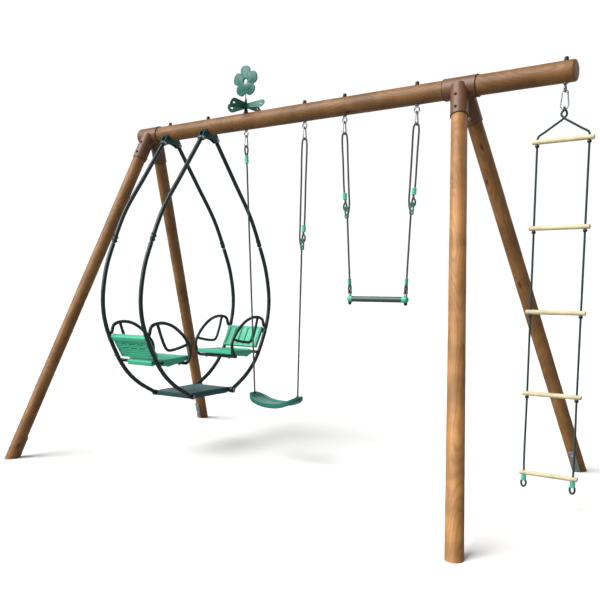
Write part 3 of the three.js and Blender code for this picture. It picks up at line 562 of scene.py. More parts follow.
world = bpy.data.worlds.new("studio")
bpy.context.scene.world = world
world.use_nodes = True
sky = world.node_tree
toward = shader(sky, "ShaderNodeTexCoord").outputs["Generated"]
SCREEN_WAY = (-0.58, 0.81, 0.06)  # from the set towards the bright screen
screen = shader(sky, "ShaderNodeVectorMath", {0: toward, 1: SCREEN_WAY}, operation="DOT_PRODUCT")
facing = step_between(sky, screen.outputs["Value"], 0.72, 0.90)
background = sky.nodes["Background"]
background.inputs["Color"].default_value = (1, 1, 1, 1)
glow = sums(sky, "MULTIPLY_ADD", facing, 1.04 - ROOM, ROOM)
direct = shader(sky, "ShaderNodeLightPath").outputs["Is Camera Ray"]
sky.links.new(sums(sky, "MAXIMUM", glow, direct), background.inputs["Strength"])


def lamp(name, kind, energy, place, aim, **settings):
    light = bpy.data.objects.new(name, bpy.data.lights.new(name, kind))
    light.data.energy = energy
    for key, value in settings.items():
        setattr(light.data, key, value)
    bpy.context.scene.collection.objects.link(light)
    light.location = place
    light.rotation_euler = (Vector(aim) - Vector(place)).to_track_quat("-Z", "Y").to_euler()
    return light


lamp("window", "SUN", 4.9, (-3.2, -5.2, 6.4), (0, 0, 1), angle=1.0, color=(1, 0.99, 0.97))
lamp("rim", "AREA", 30, (3.5, 3.5, 4.0), (0, 0, 1.2), size=3.0)
bpy.context.scene.view_settings.view_transform = "Standard"
print("floor, surround and two lamps")

# %% [markdown]
# The poles are turned from whole logs, so the rings run round a pith that wanders off the axis.
# Where the surface cuts them at a slant they show as long flames. Knots are branches that the
# lathe cut through. One group draws all this from a point measured along the pole.

# %% Timber group
timber, given, put = group(
    "turned_timber",
    [
        ("Along pole", "Vector", None),
        ("Rings per metre", "Float", 330.0),
        ("Knots", "Float", 0.15),
        ("Seed", "Float", 0.0),
    ],
    [("Late wood", "Float"), ("Knot", "Float"), ("Blotch", "Float"), ("Height", "Float")],
)
place = given["Along pole"]
apart = shader(timber, "ShaderNodeSeparateXYZ", {0: place}).outputs
shifted = sums(timber, "ADD", apart[2], given["Seed"])
spot = shader(timber, "ShaderNodeCombineXYZ", {0: apart[0], 1: apart[1], 2: shifted}).outputs[0]
wander = noise(timber, spot, 1.1, 1.0)["Color"]
knot_space = stretched(timber, spot, (11.0, 11.0, 4.2))
knots = shader(timber, "ShaderNodeTexVoronoi", {"Vector": knot_space, "Scale": 1.0})
knot_far = knots.outputs["Distance"]
swirl = sums(timber, "SUBTRACT", 1.0, step_between(timber, knot_far, 0.0, 0.55))
HALF_GREY = (0.5, 0.5, 0.5)  # the middle of a noise colour
pith = shader(timber, "ShaderNodeVectorMath", {0: wander, 1: HALF_GREY}, operation="SUBTRACT")
flat_spot = stretched(timber, spot, (1, 1, 0))
inputs = {0: pith.outputs[0], 1: (0.09, 0.09, 0.0), 2: flat_spot}
off_pith = shader(timber, "ShaderNodeVectorMath", inputs, operation="MULTIPLY_ADD").outputs[0]
from_pith = shader(timber, "ShaderNodeVectorMath", {0: off_pith}, operation="LENGTH")
from_pith = from_pith.outputs["Value"]
ring_count = sums(timber, "MULTIPLY", from_pith, given["Rings per metre"])
ring_count = sums(timber, "MULTIPLY_ADD", swirl, 1.6, ring_count)
wave = sums(timber, "SINE", sums(timber, "MULTIPLY", ring_count, 2 * math.pi))
late = sums(timber, "POWER", sums(timber, "MULTIPLY_ADD", wave, 0.5, 0.5), 2.2)
fibre = noise(timber, stretched(timber, spot, (1.0, 1.0, 0.035)), 420.0, 3.0)["Fac"]
streak = noise(timber, stretched(timber, spot, (1.0, 1.0, 0.12)), 34.0, 3.0)["Fac"]
blotch = noise(timber, spot, 5.5, 4.0, Roughness=0.62)["Fac"]
knot_ragged = sums(timber, "MULTIPLY_ADD", streak, 0.10, knot_far)
knot = sums(
    timber, "SUBTRACT", 1.0,
    step_between(timber, sums(timber, "SUBTRACT", knot_ragged, given["Knots"]), 0.0, 0.09),
)
grain = sums(timber, "MULTIPLY", late, sums(timber, "MULTIPLY_ADD", fibre, 0.34, 0.10))
timber.links.new(sums(timber, "MULTIPLY_ADD", streak, 0.42, grain), put["Late wood"])
timber.links.new(knot, put["Knot"])
timber.links.new(blotch, put["Blotch"])
lift = sums(timber, "MULTIPLY_ADD", grain, 0.35, sums(timber, "MULTIPLY", fibre, 0.5))
timber.links.new(sums(timber, "MULTIPLY_ADD", knot, 0.6, lift), put["Height"])
print("timber group with", len(timber.nodes), "nodes")

# %% [markdown]
# The same group gives two woods: pine stained a warm brown, for the frame, and bare pale wood, for
# the rungs. A Mapping node turns the room's coordinates into the pole's own, so that the grain
# runs along it whichever way it leans.

# %% Wood finishes
def timber_finish(name, matrix, early, late_colour, knot_colour, seed, rings=330.0, knot_size=0.10):
    material, tree, surface = new_material(name, specular=0.35)
    where = shader(tree, "ShaderNodeTexCoord").outputs["Object"]
    inputs = {"Vector": where, "Location": matrix.to_translation(), "Rotation": matrix.to_euler()}
    own = shader(tree, "ShaderNodeMapping", inputs, vector_type="TEXTURE").outputs[0]
    inputs = {"Along pole": own, "Rings per metre": rings, "Knots": knot_size, "Seed": seed}
    made = use(tree, timber, inputs)
    dull = tuple(c * 0.62 for c in early[:3]) + (1,)
    bright = tuple(min(1, c * 1.18) for c in early[:3]) + (1,)
    shade = step_between(tree, made["Blotch"], 0.30, 0.72)
    base = blended(tree, shade, dull, bright)
    colour = blended(tree, made["Late wood"], base, late_colour)
    colour = blended(tree, made["Knot"], colour, knot_colour)
    gloss = sums(tree, "MULTIPLY_ADD", made["Late wood"], 0.16, 0.44)
    dress(tree, surface, colour, gloss, made["Height"], 0.0012, 0.6)
    return material


STAIN = (0.345, 0.170, 0.056, 1)
STAIN_LATE = (0.122, 0.052, 0.018, 1)
STAIN_KNOT = (0.085, 0.034, 0.016, 1)


def stained(name, matrix, seed, painted_light=1.0):
    """The frame's stain, lighter on a pole painted as lit and darker on one painted in shade."""
    shades = [
        tuple(c * painted_light for c in shade[:3]) + (1,) for shade in (STAIN, STAIN_LATE, STAIN_KNOT)
    ]
    return timber_finish(name, matrix, *shades, seed)


# %% [markdown]
# A turned piece could be spun from a profile. Here the piece grows as on a lathe drawing: a filled
# circle is extruded up the axis and resized at each step, which leaves both ends closed.

# %% Turning
def turned(name, profile, sides=32):
    """A closed turned shape along +Z from (radius, height) pairs."""
    deselect()
    (radius, height), *rest = profile
    bpy.ops.mesh.primitive_circle_add(
        vertices=sides, radius=radius, fill_type="NGON", location=(0, 0, height)
    )
    obj = added(name)
    with editing(obj):
        for wide, high in rest:
            rise = (0, 0, high - height)
            bpy.ops.mesh.extrude_region_move(TRANSFORM_OT_translate={"value": rise})
            size = wide / radius
            bpy.ops.transform.resize(value=(size, size, 1), center_override=(0, 0, high))
            radius, height = wide, high
    return outwards(obj)


def turned_at(matrix, name, profile, sides=24, angle=45):
    """A turned shape in its place, smoothed."""
    return smoothed(moved(turned(name, profile, sides), matrix), angle)


# %% [markdown]
# A pole is a turned cylinder with slightly eased ends. Real poles are never quite true, so a
# gentle displacement makes them wander by less than a millimetre before a leg's foot is cut level
# with the ground.

# %% Poles
def corners(node):
    """The node's own corner points, each once."""
    return {tuple(round(c, 5) for c in v.co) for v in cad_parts[node].data.vertices}


def pole_ends(node):
    """The middle of a leg's foot and of its head, from the CAD's two rings of corners."""
    low = [Vector(c) for c in corners(node) if c[2] < 1]
    high = [Vector(c) for c in corners(node) if c[2] > 1]
    return sum(low, Vector()) / len(low), sum(high, Vector()) / len(high)


wavy = bpy.data.textures.new("lathe_wander", "CLOUDS")
wavy.noise_scale = 0.16


def pole(name, radius, length, ease=0.004, rings=60):
    """A turned pole from z = 0 up."""
    profile = [(radius - ease, 0), (radius - ease * 0.3, ease * 0.3), (radius, ease)]
    profile += [(radius, ease + (length - 2 * ease) * i / rings) for i in range(1, rings)]
    profile += [
        (radius, length - ease), (radius - ease * 0.3, length - ease * 0.3), (radius - ease, length)
    ]
    obj = turned(name, profile, sides=64)
    modified(obj, "DISPLACE", texture=wavy, strength=0.0018, mid_level=0.55, texture_coords="LOCAL")
    return smoothed(obj, 50)


beam_low, beam_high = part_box("crossbeam")
matrix = standing((beam_low.x, BEAM.y, BEAM.z), (1, 0, 0))
beam = moved(pole("beam_pole", BEAM_RADIUS, beam_high.x - beam_low.x, ease=0.009), matrix)
# The beam's stain is darkened to 0.82 times, a painted shade.
piece(beam, stained("stained_beam", matrix, 0.35, 0.82), "frame", "stained_wood", "crossbeam")

LEG_RADIUS = 0.042
legs = {}
for number, name in enumerate(("left_front", "left_rear", "right_front", "right_rear")):
    foot, head = pole_ends(f"leg_{name}")
    up = (head - foot).normalized()
    legs[name] = foot, up
    below = foot - up * 0.08
    matrix = standing(below, up)
    leg = moved(pole(f"leg_pole_{name}", LEG_RADIUS, (head - below).length), matrix)
    ground = {"plane_co": (0, 0, 0), "plane_no": (0, 0, 1)}
    with editing(leg):
        bpy.ops.mesh.bisect(**ground, use_fill=True, clear_inner=True)
    smoothed(leg, 50)
    # The right front leg's stain is lightened 1.6 times, painted light; the other legs keep the
    # plain stain.
    painted_light = 1.6 if name == "right_front" else 1.0
    wood = stained(f"stained_{name}", matrix, 2.6 + 1.7 * number, painted_light)
    piece(leg, wood, "frame", "stained_wood", f"leg_{name}")
    print("leg", name, "foot", tuple(round(c, 3) for c in foot))

# %% [markdown]
# The metal and plastic finishes share one group: a fine moulded or sprayed skin, with slow changes
# of tone where the colour settled unevenly and small scuffs where hands and weather reach it.

# %% Skin group
skin, given, put = group(
    "skin",
    [("Place", "Vector", None), ("Grain", "Float", 600.0), ("Scuffs", "Float", 0.3)],
    [("Tone", "Float"), ("Scuff", "Float"), ("Height", "Float")],
)
grain = noise(skin, given["Place"], given["Grain"], 2.0)["Fac"]
slow = noise(skin, given["Place"], 9.0, 3.0)["Fac"]
scratches = noise(skin, stretched(skin, given["Place"], (60, 90, 14)), 1.0, 5.0)["Fac"]
patches = step_between(skin, slow, 0.45, 0.7)
scuffed = sums(skin, "MULTIPLY", step_between(skin, scratches, 0.58, 0.72), patches)
skin.links.new(slow, put["Tone"])
skin.links.new(sums(skin, "MULTIPLY", scuffed, given["Scuffs"]), put["Scuff"])
skin.links.new(grain, put["Height"])


def coated(
    name, colour, roughness, grain=600.0, scuffs=0.3, bump=0.00025, metallic=0.0, coat=0.0,
    scuff_tone=1.9
):
    """A sprayed or moulded finish in one colour."""
    material, tree, surface = new_material(name, metallic=metallic)
    where = shader(tree, "ShaderNodeTexCoord").outputs["Object"]
    made = use(tree, skin, {"Place": where, "Grain": grain, "Scuffs": scuffs})
    dark = tuple(c * 0.82 for c in colour) + (1,)
    light = tuple(min(1, c * 1.16) for c in colour) + (1,)
    worn = tuple(min(1, c * scuff_tone + 0.02) for c in colour) + (1,)
    base = blended(tree, made["Tone"], dark, light)
    shade = blended(tree, made["Scuff"], base, worn)
    gloss = sums(
        tree, "MULTIPLY_ADD", made["Scuff"], 0.25,
        sums(tree, "MULTIPLY_ADD", made["Tone"], 0.12, roughness)
    )
    dress(tree, surface, shade, gloss, made["Height"], bump, 0.5)
    surface.inputs["Coat Weight"].default_value = coat
    surface.inputs["Coat Roughness"].default_value = 0.2
    return material


bracket_brown = coated(
    "bracket_brown", (0.158, 0.069, 0.033), 0.40, grain=420, scuffs=0.35, coat=0.05
)
tube_green = coated(
    "tube_dark_green", (0.006, 0.024, 0.026), 0.32, grain=380, scuffs=0.15, coat=0.0
)
zinc = coated(
    "bright_zinc", (0.40, 0.41, 0.43), 0.30, grain=160, scuffs=0.6, metallic=1.0, scuff_tone=1.2
)
black_plastic = coated("black_plastic", (0.012, 0.013, 0.014), 0.34, grain=900, scuffs=0.3)
mint = coated("mint_plastic", (0.065, 0.530, 0.330), 0.34, grain=700, scuffs=0.15, scuff_tone=1.15)
teal = coated("teal_plastic", (0.014, 0.165, 0.125), 0.22, grain=700, scuffs=0.2, scuff_tone=1.3)
spinner_teal = coated(
    "spinner_teal", (0.022, 0.155, 0.118), 0.40, grain=520, scuffs=0.2, scuff_tone=1.3
)
deep_teal = coated(
    "deep_teal_plastic", (0.008, 0.084, 0.086), 0.36, grain=620, scuffs=0.3, scuff_tone=1.5
)
bar_grey = coated("bar_grey_green", (0.030, 0.062, 0.058), 0.34, grain=500, scuffs=0.4, coat=0.2)
print(len(bpy.data.materials), "materials so far")

# %% [markdown]
# A corner bracket is a tube round the beam with a socket welded on for each leg. It is made the
# way a welder makes it: three tubes are united, and the bores for the beam and the legs are then
# cut right through, so the walls stay one even thickness. The outer end of the left one is closed
# with a rounded cap.

# %% Corner brackets
WALL = 0.0046
FIT = 0.0004
SOCKET_END = 0.182


def cut_with(obj, other, operation):
    modified(obj, "BOOLEAN", object=other, operation=operation, solver="EXACT")
    bpy.data.objects.remove(other)
    return obj


def bored(obj, radius, reach, matrix, sides):
    """Bores a round hole that runs past both faces."""
    bore = turned("bore", [(radius, -reach), (radius, reach)], sides)
    return cut_with(obj, moved(bore, matrix), "DIFFERENCE")


def bracket(side, outer, bore_from, bore_to, rounded):
    """A bracket from its sleeve's (start, end) in x."""
    start, end = outer
    radius = BEAM_RADIUS + FIT + WALL
    length = end - start
    soft = 0.014 if rounded else 0.0012
    profile = [
        (radius - soft, 0), (radius - soft * 0.62, soft * 0.08), (radius - soft * 0.29, soft * 0.29)
    ]
    profile += [(radius - soft * 0.08, soft * 0.62), (radius, soft), (radius, length - 0.0012)]
    profile += [(radius - 0.0012, length)]
    sleeve = turned(f"bracket_{side}", profile, sides=96)
    body = moved(sleeve, standing((start, 0, BEAM.z), (1, 0, 0)))
    bores = []
    for face in ("front", "rear"):
        foot, up = legs[f"{side}_{face}"]
        head = foot + up * ((BEAM.z - foot.z) / up.z)
        wide = LEG_RADIUS + FIT + WALL
        steps = [(wide, 0), (wide, SOCKET_END - 0.0012), (wide - 0.0012, SOCKET_END)]
        socket = moved(turned("socket", steps, sides=80), standing(head, -up))
        cut_with(body, socket, "UNION")
        hole = [(LEG_RADIUS + FIT, 0.06), (LEG_RADIUS + FIT, SOCKET_END + 0.02)]
        bores.append(moved(turned("bore", hole, sides=80), standing(head, -up)))
    hole = [(BEAM_RADIUS + FIT, bore_from), (BEAM_RADIUS + FIT, bore_to)]
    bores.append(moved(turned("bore", hole, sides=96), standing((0, 0, BEAM.z), (1, 0, 0))))
    for bore in bores:
        cut_with(body, bore, "DIFFERENCE")
    smoothed(body, 38)
    return piece(body, bracket_brown, "frame", "bracket_paint", f"corner_bracket_{side}")


SLEEVE_LENGTH = 0.184
left_sleeve = (beam_low.x - 0.0064, beam_low.x - 0.0064 + SLEEVE_LENGTH)
foot, up = legs["right_front"]
right_x = foot.x + up.x * (BEAM.z - foot.z) / up.z
right_sleeve = (right_x - SLEEVE_LENGTH / 2, right_x + SLEEVE_LENGTH / 2)
bracket("left", left_sleeve, beam_low.x - FIT, left_sleeve[1] + 0.02, True)
bracket("right", right_sleeve, right_sleeve[0] - 0.02, right_sleeve[1] + 0.02, False)
print("sleeves from", [tuple(round(x, 3) for x in s) for s in (left_sleeve, right_sleeve)])

# %% [markdown]
# Thin black bands at the mouths of sleeves and sockets are partly rubber edging and partly painted
# shadow in the gap where timber enters. A torus is flattened along its axis into a band.

# %% Edge bands and painted gap shadow
def band(name, radius, point, direction, thick=0.0017):
    deselect()
    bpy.ops.mesh.primitive_torus_add(
        major_radius=radius, minor_radius=thick, major_segments=72, minor_segments=10
    )
    ring = added(name)
    with editing(ring):
        bpy.ops.transform.resize(value=(1, 1, 0.8), center_override=(0, 0, 0))
    return smoothed(moved(ring, standing(point, direction)), 80)


for side, places in (("left", left_sleeve[1:]), ("right", right_sleeve)):
    rings = [band("ring", BEAM_RADIUS + WALL, (x, 0, BEAM.z), (1, 0, 0)) for x in places]
    for face in ("front", "rear"):
        foot, up = legs[f"{side}_{face}"]
        mouth = foot + up * ((BEAM.z - foot.z) / up.z - SOCKET_END)
        rings.append(band("ring", LEG_RADIUS + WALL * 0.8, mouth, up))
    # The black bands are partly edging and partly painted shadow in the gap round the timber.
    piece(joined(f"edging_and_shadow_bands_{side}", rings), black_plastic, "frame", "tube_paint")

# %% [markdown]
# The bolts are button heads with a hexagon key socket. The head is a turned dome, and the key
# socket is an inset face pushed in. One is modelled along +Z and copied to each place.

# %% Bolt heads
def top_face(mesh):
    return max(mesh.faces, key=lambda f: (round(f.calc_center_median().z, 6), f.calc_area()))


def button_head(name, radius, height, key=0.45):
    """A domed head with a key socket in its top."""
    dome = [
        (radius, 0), (radius, height * 0.25), (radius * 0.92, height * 0.6),
        (radius * 0.74, height * 0.9)
    ]
    head = turned(name, dome + [(radius * 0.62, height)], sides=24)
    with editing(head, "DESELECT") as mesh:
        top_face(mesh).select = True
        bmesh.update_edit_mesh(head.data)
        bpy.ops.mesh.inset(thickness=radius * (0.62 - key))
        bpy.ops.mesh.extrude_region_move(TRANSFORM_OT_translate={"value": (0, 0, -height * 0.6)})
    return smoothed(outwards(head), 40)


def washered(name, head, radius, thick=0.0016):
    """The head on a washer, as one piece of hardware."""
    moved(head, Matrix.Translation((0, 0, thick)))
    rim = [(radius - 0.0004, 0), (radius, 0.0004), (radius, thick), (radius - 0.0005, thick)]
    washer = turned(name, rim, 28)
    return smoothed(joined(name, [head, washer]), 40)


bracket_bolt = washered("bracket_bolt", button_head("head", 0.0070, 0.0050), 0.0095)
nut_end = turned("nut", [(0.0095, 0), (0.0095, 0.0075), (0.0080, 0.0088)], sides=6)
thread = turned("thread", [(0.0045, 0.005), (0.0045, 0.016), (0.0038, 0.017)], sides=16)
bolt_nut = smoothed(joined("bolt_nut", [nut_end, thread]), 30)
for side in ("left", "right"):
    heads, nuts = [], []
    for face, way in (("front", -1), ("rear", 1)):
        foot, up = legs[f"{side}_{face}"]
        out = Vector((0, way, 0))
        out = (out - up * out.dot(up)).normalized()
        for down in (0.074, 0.150):
            centre = foot + up * ((BEAM.z - foot.z) / up.z - down)
            reach = LEG_RADIUS + FIT + WALL - 0.0004
            heads.append(copied(bracket_bolt, "head", standing(centre + out * reach, out)))
            nuts.append(copied(bolt_nut, "nut", standing(centre - out * reach, -out)))
    piece(joined(f"bracket_bolts_{side}", heads), black_plastic, "frame", "tube_paint")
    piece(joined(f"bracket_nuts_{side}", nuts), zinc, "frame", "zinc")
for spare in (bracket_bolt, bolt_nut):
    bpy.data.objects.remove(spare)
print("bolts at four sockets")

# %% [markdown]
# Everything that hangs from the beam is bolted through it, and a black domed cap covers each nut
# on top, so that no thread stands proud. The cap is turned with a wide skirt.

# %% Cap nuts
cap_profile = [(0.0140, 0), (0.0140, 0.0020), (0.0122, 0.0032), (0.0112, 0.0040), (0.0112, 0.0110)]
cap_profile += [
    (0.0106, 0.0145), (0.0090, 0.0175), (0.0064, 0.0195), (0.0030, 0.0205), (0.0010, 0.0207)
]
cap = smoothed(turned("cap", cap_profile, sides=28), 45)


def through_x(node):
    """The x of a bolt that stands in the middle of a node's box."""
    return middle(node).x


CAPPED = ("eye_bolt", "glider_hanger")
capped = [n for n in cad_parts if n.startswith(CAPPED) and n != "eye_bolt_swing_left"]
CAP_SINK = 0.0006
spots = [Matrix.Translation((through_x(n), 0, BEAM_TOP - CAP_SINK)) for n in sorted(capped)]
caps = [copied(cap, "cap", spot) for spot in spots]
piece(joined("beam_cap_nuts", caps), black_plastic, "frame", "tube_paint")
print(len(caps), "cap nuts")

# %% [markdown]
# Rods and wires are drawn as a curve with a round bevel and then made a mesh. It keeps an even
# thickness round every bend, which a spun or extruded bar only has with much care.

# %% Bent bars
def bent(name, points, radius, step=0.01, closed=False, sides=4):
    """A round bar along the smooth line through some points."""
    line = smooth_line(points, step)
    if closed:
        line = line[:-1]
    curve = bpy.data.curves.new(name, "CURVE")
    curve.dimensions = "3D"
    curve.bevel_depth = radius
    curve.bevel_resolution = sides
    curve.use_fill_caps = True
    spline = curve.splines.new("POLY")
    spline.points.add(len(line) - 1)
    for point, place in zip(spline.points, line):
        point.co = (*place, 1)
    spline.use_cyclic_u = closed
    obj = bpy.data.objects.new(name, curve)
    bpy.context.scene.collection.objects.link(obj)
    take(obj)
    bpy.ops.object.convert(target="MESH")
    return smoothed(bpy.context.object, 50)


def arc(centre, radius, start, stop, count):
    """Points of an arc in the XZ plane, in degrees."""
    angles = [math.radians(start + (stop - start) * i / count) for i in range(count + 1)]
    return [Vector(centre) + radius * Vector((math.cos(a), 0, math.sin(a))) for a in angles]


# %% [markdown]
# An eye bolt is one bent rod: a ring, and a shank that goes up through the beam against a washer
# and a hexagon shoulder. The ring is a full arc, and the shoulder and washer are turned.

# %% Eye bolts
EYE_RADIUS = 0.015
EYE_WIRE = 0.0045
SHANK_START = 0.0145  # above the middle of the ring, inside its wire
for node in sorted(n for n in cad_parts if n.startswith("eye_bolt")):
    low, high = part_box(node)
    centre = Vector((through_x(node), 0, low.z + EYE_RADIUS + EYE_WIRE))
    under = BEAM.z - BEAM_RADIUS
    ring = bent("ring", arc((0, 0, 0), EYE_RADIUS, -90, 270, 20), EYE_WIRE, 0.002, closed=True)
    turn = math.pi / 2 if high.y - low.y > high.x - low.x + 0.001 else 0.0
    moved(ring, Matrix.Translation(centre) @ Matrix.Rotation(turn, 4, "Z"))
    rise = high.z - centre.z - SHANK_START
    parts = [
        ring,
        turned("shank", [(0.005, 0), (0.005, rise - 0.001), (0.0042, rise)], 16),
        turned("shoulder", [(0.0092, 0), (0.0100, 0.0008), (0.0100, 0.0052), (0.0092, 0.006)], 6),
        turned("washer", [(0.0148, 0), (0.0152, 0.0004), (0.0152, 0.0018), (0.0148, 0.002)], 28),
    ]
    moved(parts[1], Matrix.Translation(centre + Vector((0, 0, SHANK_START))))
    moved(parts[2], Matrix.Translation((centre.x, 0, under - 0.0082)))
    moved(parts[3], Matrix.Translation((centre.x, 0, under - 0.0021)))
    piece(smoothed(joined(f"{node}_forged", parts), 40), zinc, "frame", "zinc", node)

# %% [markdown]
# A carabiner is a bent wire pear with a sprung gate. The pear is drawn from two arcs, narrow at the
# top and wide below, and the gate is a thinner rod between a hinge and a nose on one side.

# %% Carabiners
def carabiner(name, node, body):
    """Drawn at the origin in the YZ plane, then turned to lie the way its node does."""
    low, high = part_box(node)
    wire = WIRE_RADIUS * 0.86
    length = high.z - low.z - 2 * WIRE_RADIUS
    across = max(high.x - low.x, high.y - low.y)
    wide = across / 2 - WIRE_RADIUS
    narrow = wide * 0.66
    path = [(math.sin(a) * wide, wide - math.cos(a) * wide) for a in (0, 0.55, 1.1, 1.55)]
    path += [(wide * 0.90, wide * 1.9), (narrow * 1.02, length - narrow * 1.35)]
    path += [
        (math.cos(a) * narrow, length - narrow + math.sin(a) * narrow)
        for a in (0.2, 0.9, math.pi / 2)
    ]
    path += [(-y, z) for y, z in path[-2::-1]]
    parts = [bent("wire", [(0, y, z) for y, z in path], wire, 0.003, closed=True)]
    gate = [(0, wide * 1.0, wide * 1.15), (0, narrow * 1.05, length - narrow * 1.25)]
    parts.append(bent("gate", gate, wire * 1.18, 0.02))
    hinge = turned("pin", [(0.0022, -0.0055), (0.0022, 0.0055)], 12)
    parts.append(moved(hinge, standing(Vector(gate[0]) + Vector((0, 0, 0.003)), (1, 0, 0))))
    nose = [(wire * 1.35, 0), (wire * 1.5, 0.001), (wire * 1.5, 0.008), (wire * 1.35, 0.009)]
    ring = turned("nose", nose, 20)
    parts.append(moved(ring, standing(gate[1], Vector(gate[1]) - Vector(gate[0]))))
    hook = smoothed(joined(name, parts), 45)
    turn = -math.pi / 2 if high.x - low.x > high.y - low.y else 0.0
    place = Matrix.Translation(((low.x + high.x) / 2, 0, low.z + WIRE_RADIUS))
    return piece(moved(hook, place @ Matrix.Rotation(turn, 4, "Z")), zinc, body, "zinc", node)


for owner in ("swing", "trapeze"):
    for side in ("left", "right"):
        carabiner(f"{owner}_snap_hook_{side}", f"{owner}_carabiner_{side}", f"{owner}_ropes")
carabiner("ladder_snap_hook", "ladder_carabiner", "ladder")
print("five carabiners")

# %% [markdown]
# The glider's two half hoops meet over the seats like a pear. Each is two tubes, the lower pushed
# into the upper and held by two screws, with a welded eye at each end. The hoop's outline is
# rebuilt from the same shares of its width and drop as in the CAD, so the tubes lie where the
# CAD's lie.

# %% Hoop outline
HOOP = [(0.393, 0.142), (0.674, 0.284), (0.83, 0.398), (0.945, 0.503), (1, 0.622)]
HOOP += [(0.972, 0.711), (0.852, 0.82), (0.725, 0.893), (0.565, 0.947)]
HOOP_HALF_WIDTH = 0.642
TUBE_RADIUS = 0.014
front_rod, rear_rod = middle("footrest_front_rod"), middle("footrest_rear_rod")
GLIDER_X = front_rod.x
PIVOT_Z = 2.125
PIVOT_Y = 0.07
ROD_Z = rear_rod.z
DROP = PIVOT_Z - ROD_Z
GAUGE = 0.352

hoop_points = [(0, PIVOT_Y, PIVOT_Z)]
hoop_points += [(0, y * HOOP_HALF_WIDTH, PIVOT_Z - z * DROP) for y, z in HOOP]
hoop_points += [(0, rear_rod.y, ROD_Z)]
hoop = smooth_line(hoop_points, 0.004)
hoop_length = length_of(hoop)
print("half hoop", round(hoop_length, 3), "m")


def hoop_between(start, stop):
    """The hoop's points from one share of its length to another."""
    gone, kept = 0.0, []
    for a, b in zip(hoop, hoop[1:]):
        if start <= gone / hoop_length <= stop:
            kept.append(a)
        gone += (b - a).length
    return kept


def hoop_at(z):
    """The hoop's point at a height on its lower half, and the direction up along it."""
    low = [i for i, p in enumerate(hoop) if p.z > z and i > len(hoop) * 0.3]
    i = low[-1]
    a, b = hoop[i], hoop[i + 1]
    point = a + (b - a) * ((a.z - z) / (a.z - b.z))
    return point, (hoop[i - 1] - hoop[i + 2]).normalized()


# %% [markdown]
# An eye is a short thick tube. A cylinder's two end faces are inset, and bridging the inset faces
# opens the bore.

# %% Eyes
def eye_ring(name, outer, inner, length, ease=0.001):
    """A bored ring along +Z, centred on the origin."""
    deselect()
    bpy.ops.mesh.primitive_cylinder_add(
        vertices=32, radius=outer, depth=length, end_fill_type="NGON"
    )
    ring = added(name)
    with editing(ring, "DESELECT") as mesh:
        for face in mesh.faces:
            face.select = len(face.verts) > 4
        bmesh.update_edit_mesh(ring.data)
        bpy.ops.mesh.inset(thickness=outer - inner)
        bpy.ops.mesh.bridge_edge_loops()
    return softened(outwards(ring), ease, 2)


HALVES = (("front", -1), ("rear", 1))
EYE_LENGTH = 0.030
SCREW_SINK = 0.0006  # how far a screw's seat stands off the tube's side
JOINT_SHARE = 0.41
PIN_BORE = 0.0087
OPEN_BORE = 0.0122
EYE_WALL = 0.010
screw = button_head("screw", 0.0062, 0.0042)
domed_nut = smoothed(
    turned("nut", [(0.0068, 0), (0.0068, 0.0045), (0.0055, 0.0075), (0.0022, 0.0092)], 6), 30
)


def mirrored_y(points, way):
    return [Vector((p.x, way * p.y, p.z)) for p in points]


def hoop_eye(bore, y, z):
    """A tube's welded eye, its bore along x."""
    ring = eye_ring("eye", bore + EYE_WALL, bore, EYE_LENGTH)
    return moved(ring, standing((0, y, z), (1, 0, 0)))


for half, way in HALVES:
    body = f"glider_{half}"
    screws = []
    for name, side in (("left", -1), ("right", 1)):
        x = GLIDER_X + side * GAUGE / 2
        shift = Matrix.Translation((x, 0, 0))
        upper = bent("upper", mirrored_y(hoop_between(0.008, JOINT_SHARE), way)[::2], TUBE_RADIUS)
        collar = mirrored_y(hoop_between(JOINT_SHARE - 0.030, JOINT_SHARE), way)
        collar = bent("collar", collar[::3], TUBE_RADIUS + 0.0014)
        top = hoop_eye(PIN_BORE, way * PIVOT_Y, PIVOT_Z)
        tube = joined(f"{half}_upper_bend_{name}", [upper, collar, top])
        piece(
            moved(tube, shift), tube_green, body, "tube_paint", f"glider_{half}_upper_tube_{name}"
        )
        lower = bent("lower", mirrored_y(hoop_between(JOINT_SHARE, 0.990), way)[::2], TUBE_RADIUS)
        bore = PIN_BORE if way < 0 else OPEN_BORE
        low_eye = hoop_eye(bore, way * rear_rod.y, ROD_Z)
        tube = joined(f"{half}_lower_bend_{name}", [lower, low_eye])
        piece(
            moved(tube, shift), tube_green, body, "tube_paint", f"glider_{half}_lower_tube_{name}"
        )
        for share in (JOINT_SHARE - 0.022, JOINT_SHARE - 0.008):
            a, b = hoop_between(share - 0.004, share + 0.004)[:2]
            along = (b - a).normalized()
            out = Vector((0, -along.z, along.y))
            out = Vector((0, way * out.y, out.z)) * (1 if out.y > 0 else -1)
            reach = out * (TUBE_RADIUS + SCREW_SINK)
            at = Vector((x, way * a.y, a.z))
            screws.append(copied(screw, "s", standing(at + reach, out)))
            screws.append(copied(domed_nut, "n", standing(at - reach, -out)))
    piece(joined(f"{half}_hoop_screws", screws), black_plastic, body, "tube_paint")
print("eight hoop tubes")

# %% [markdown]
# The hanger that the CAD gives is already the right shape, a saddle with two arched cheeks and two
# pins. A copy of it is merged into one skin, its edges are rounded as a press leaves them, and
# bright bolt heads are put on the pins.

# %% Glider hangers
def refined(node, name, width, angle=30):
    """A copy of a CAD node with merged corners and rounded edges."""
    obj = copied(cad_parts[node], name, Matrix.Identity(4))
    obj.parent = None
    obj.hide_render = False
    for key in list(obj.keys()):
        del obj[key]
    with editing(obj):
        bpy.ops.mesh.remove_doubles(threshold=0.00002)
        bpy.ops.mesh.dissolve_limited(angle_limit=math.radians(1))
    return softened(obj, width, 2, angle)


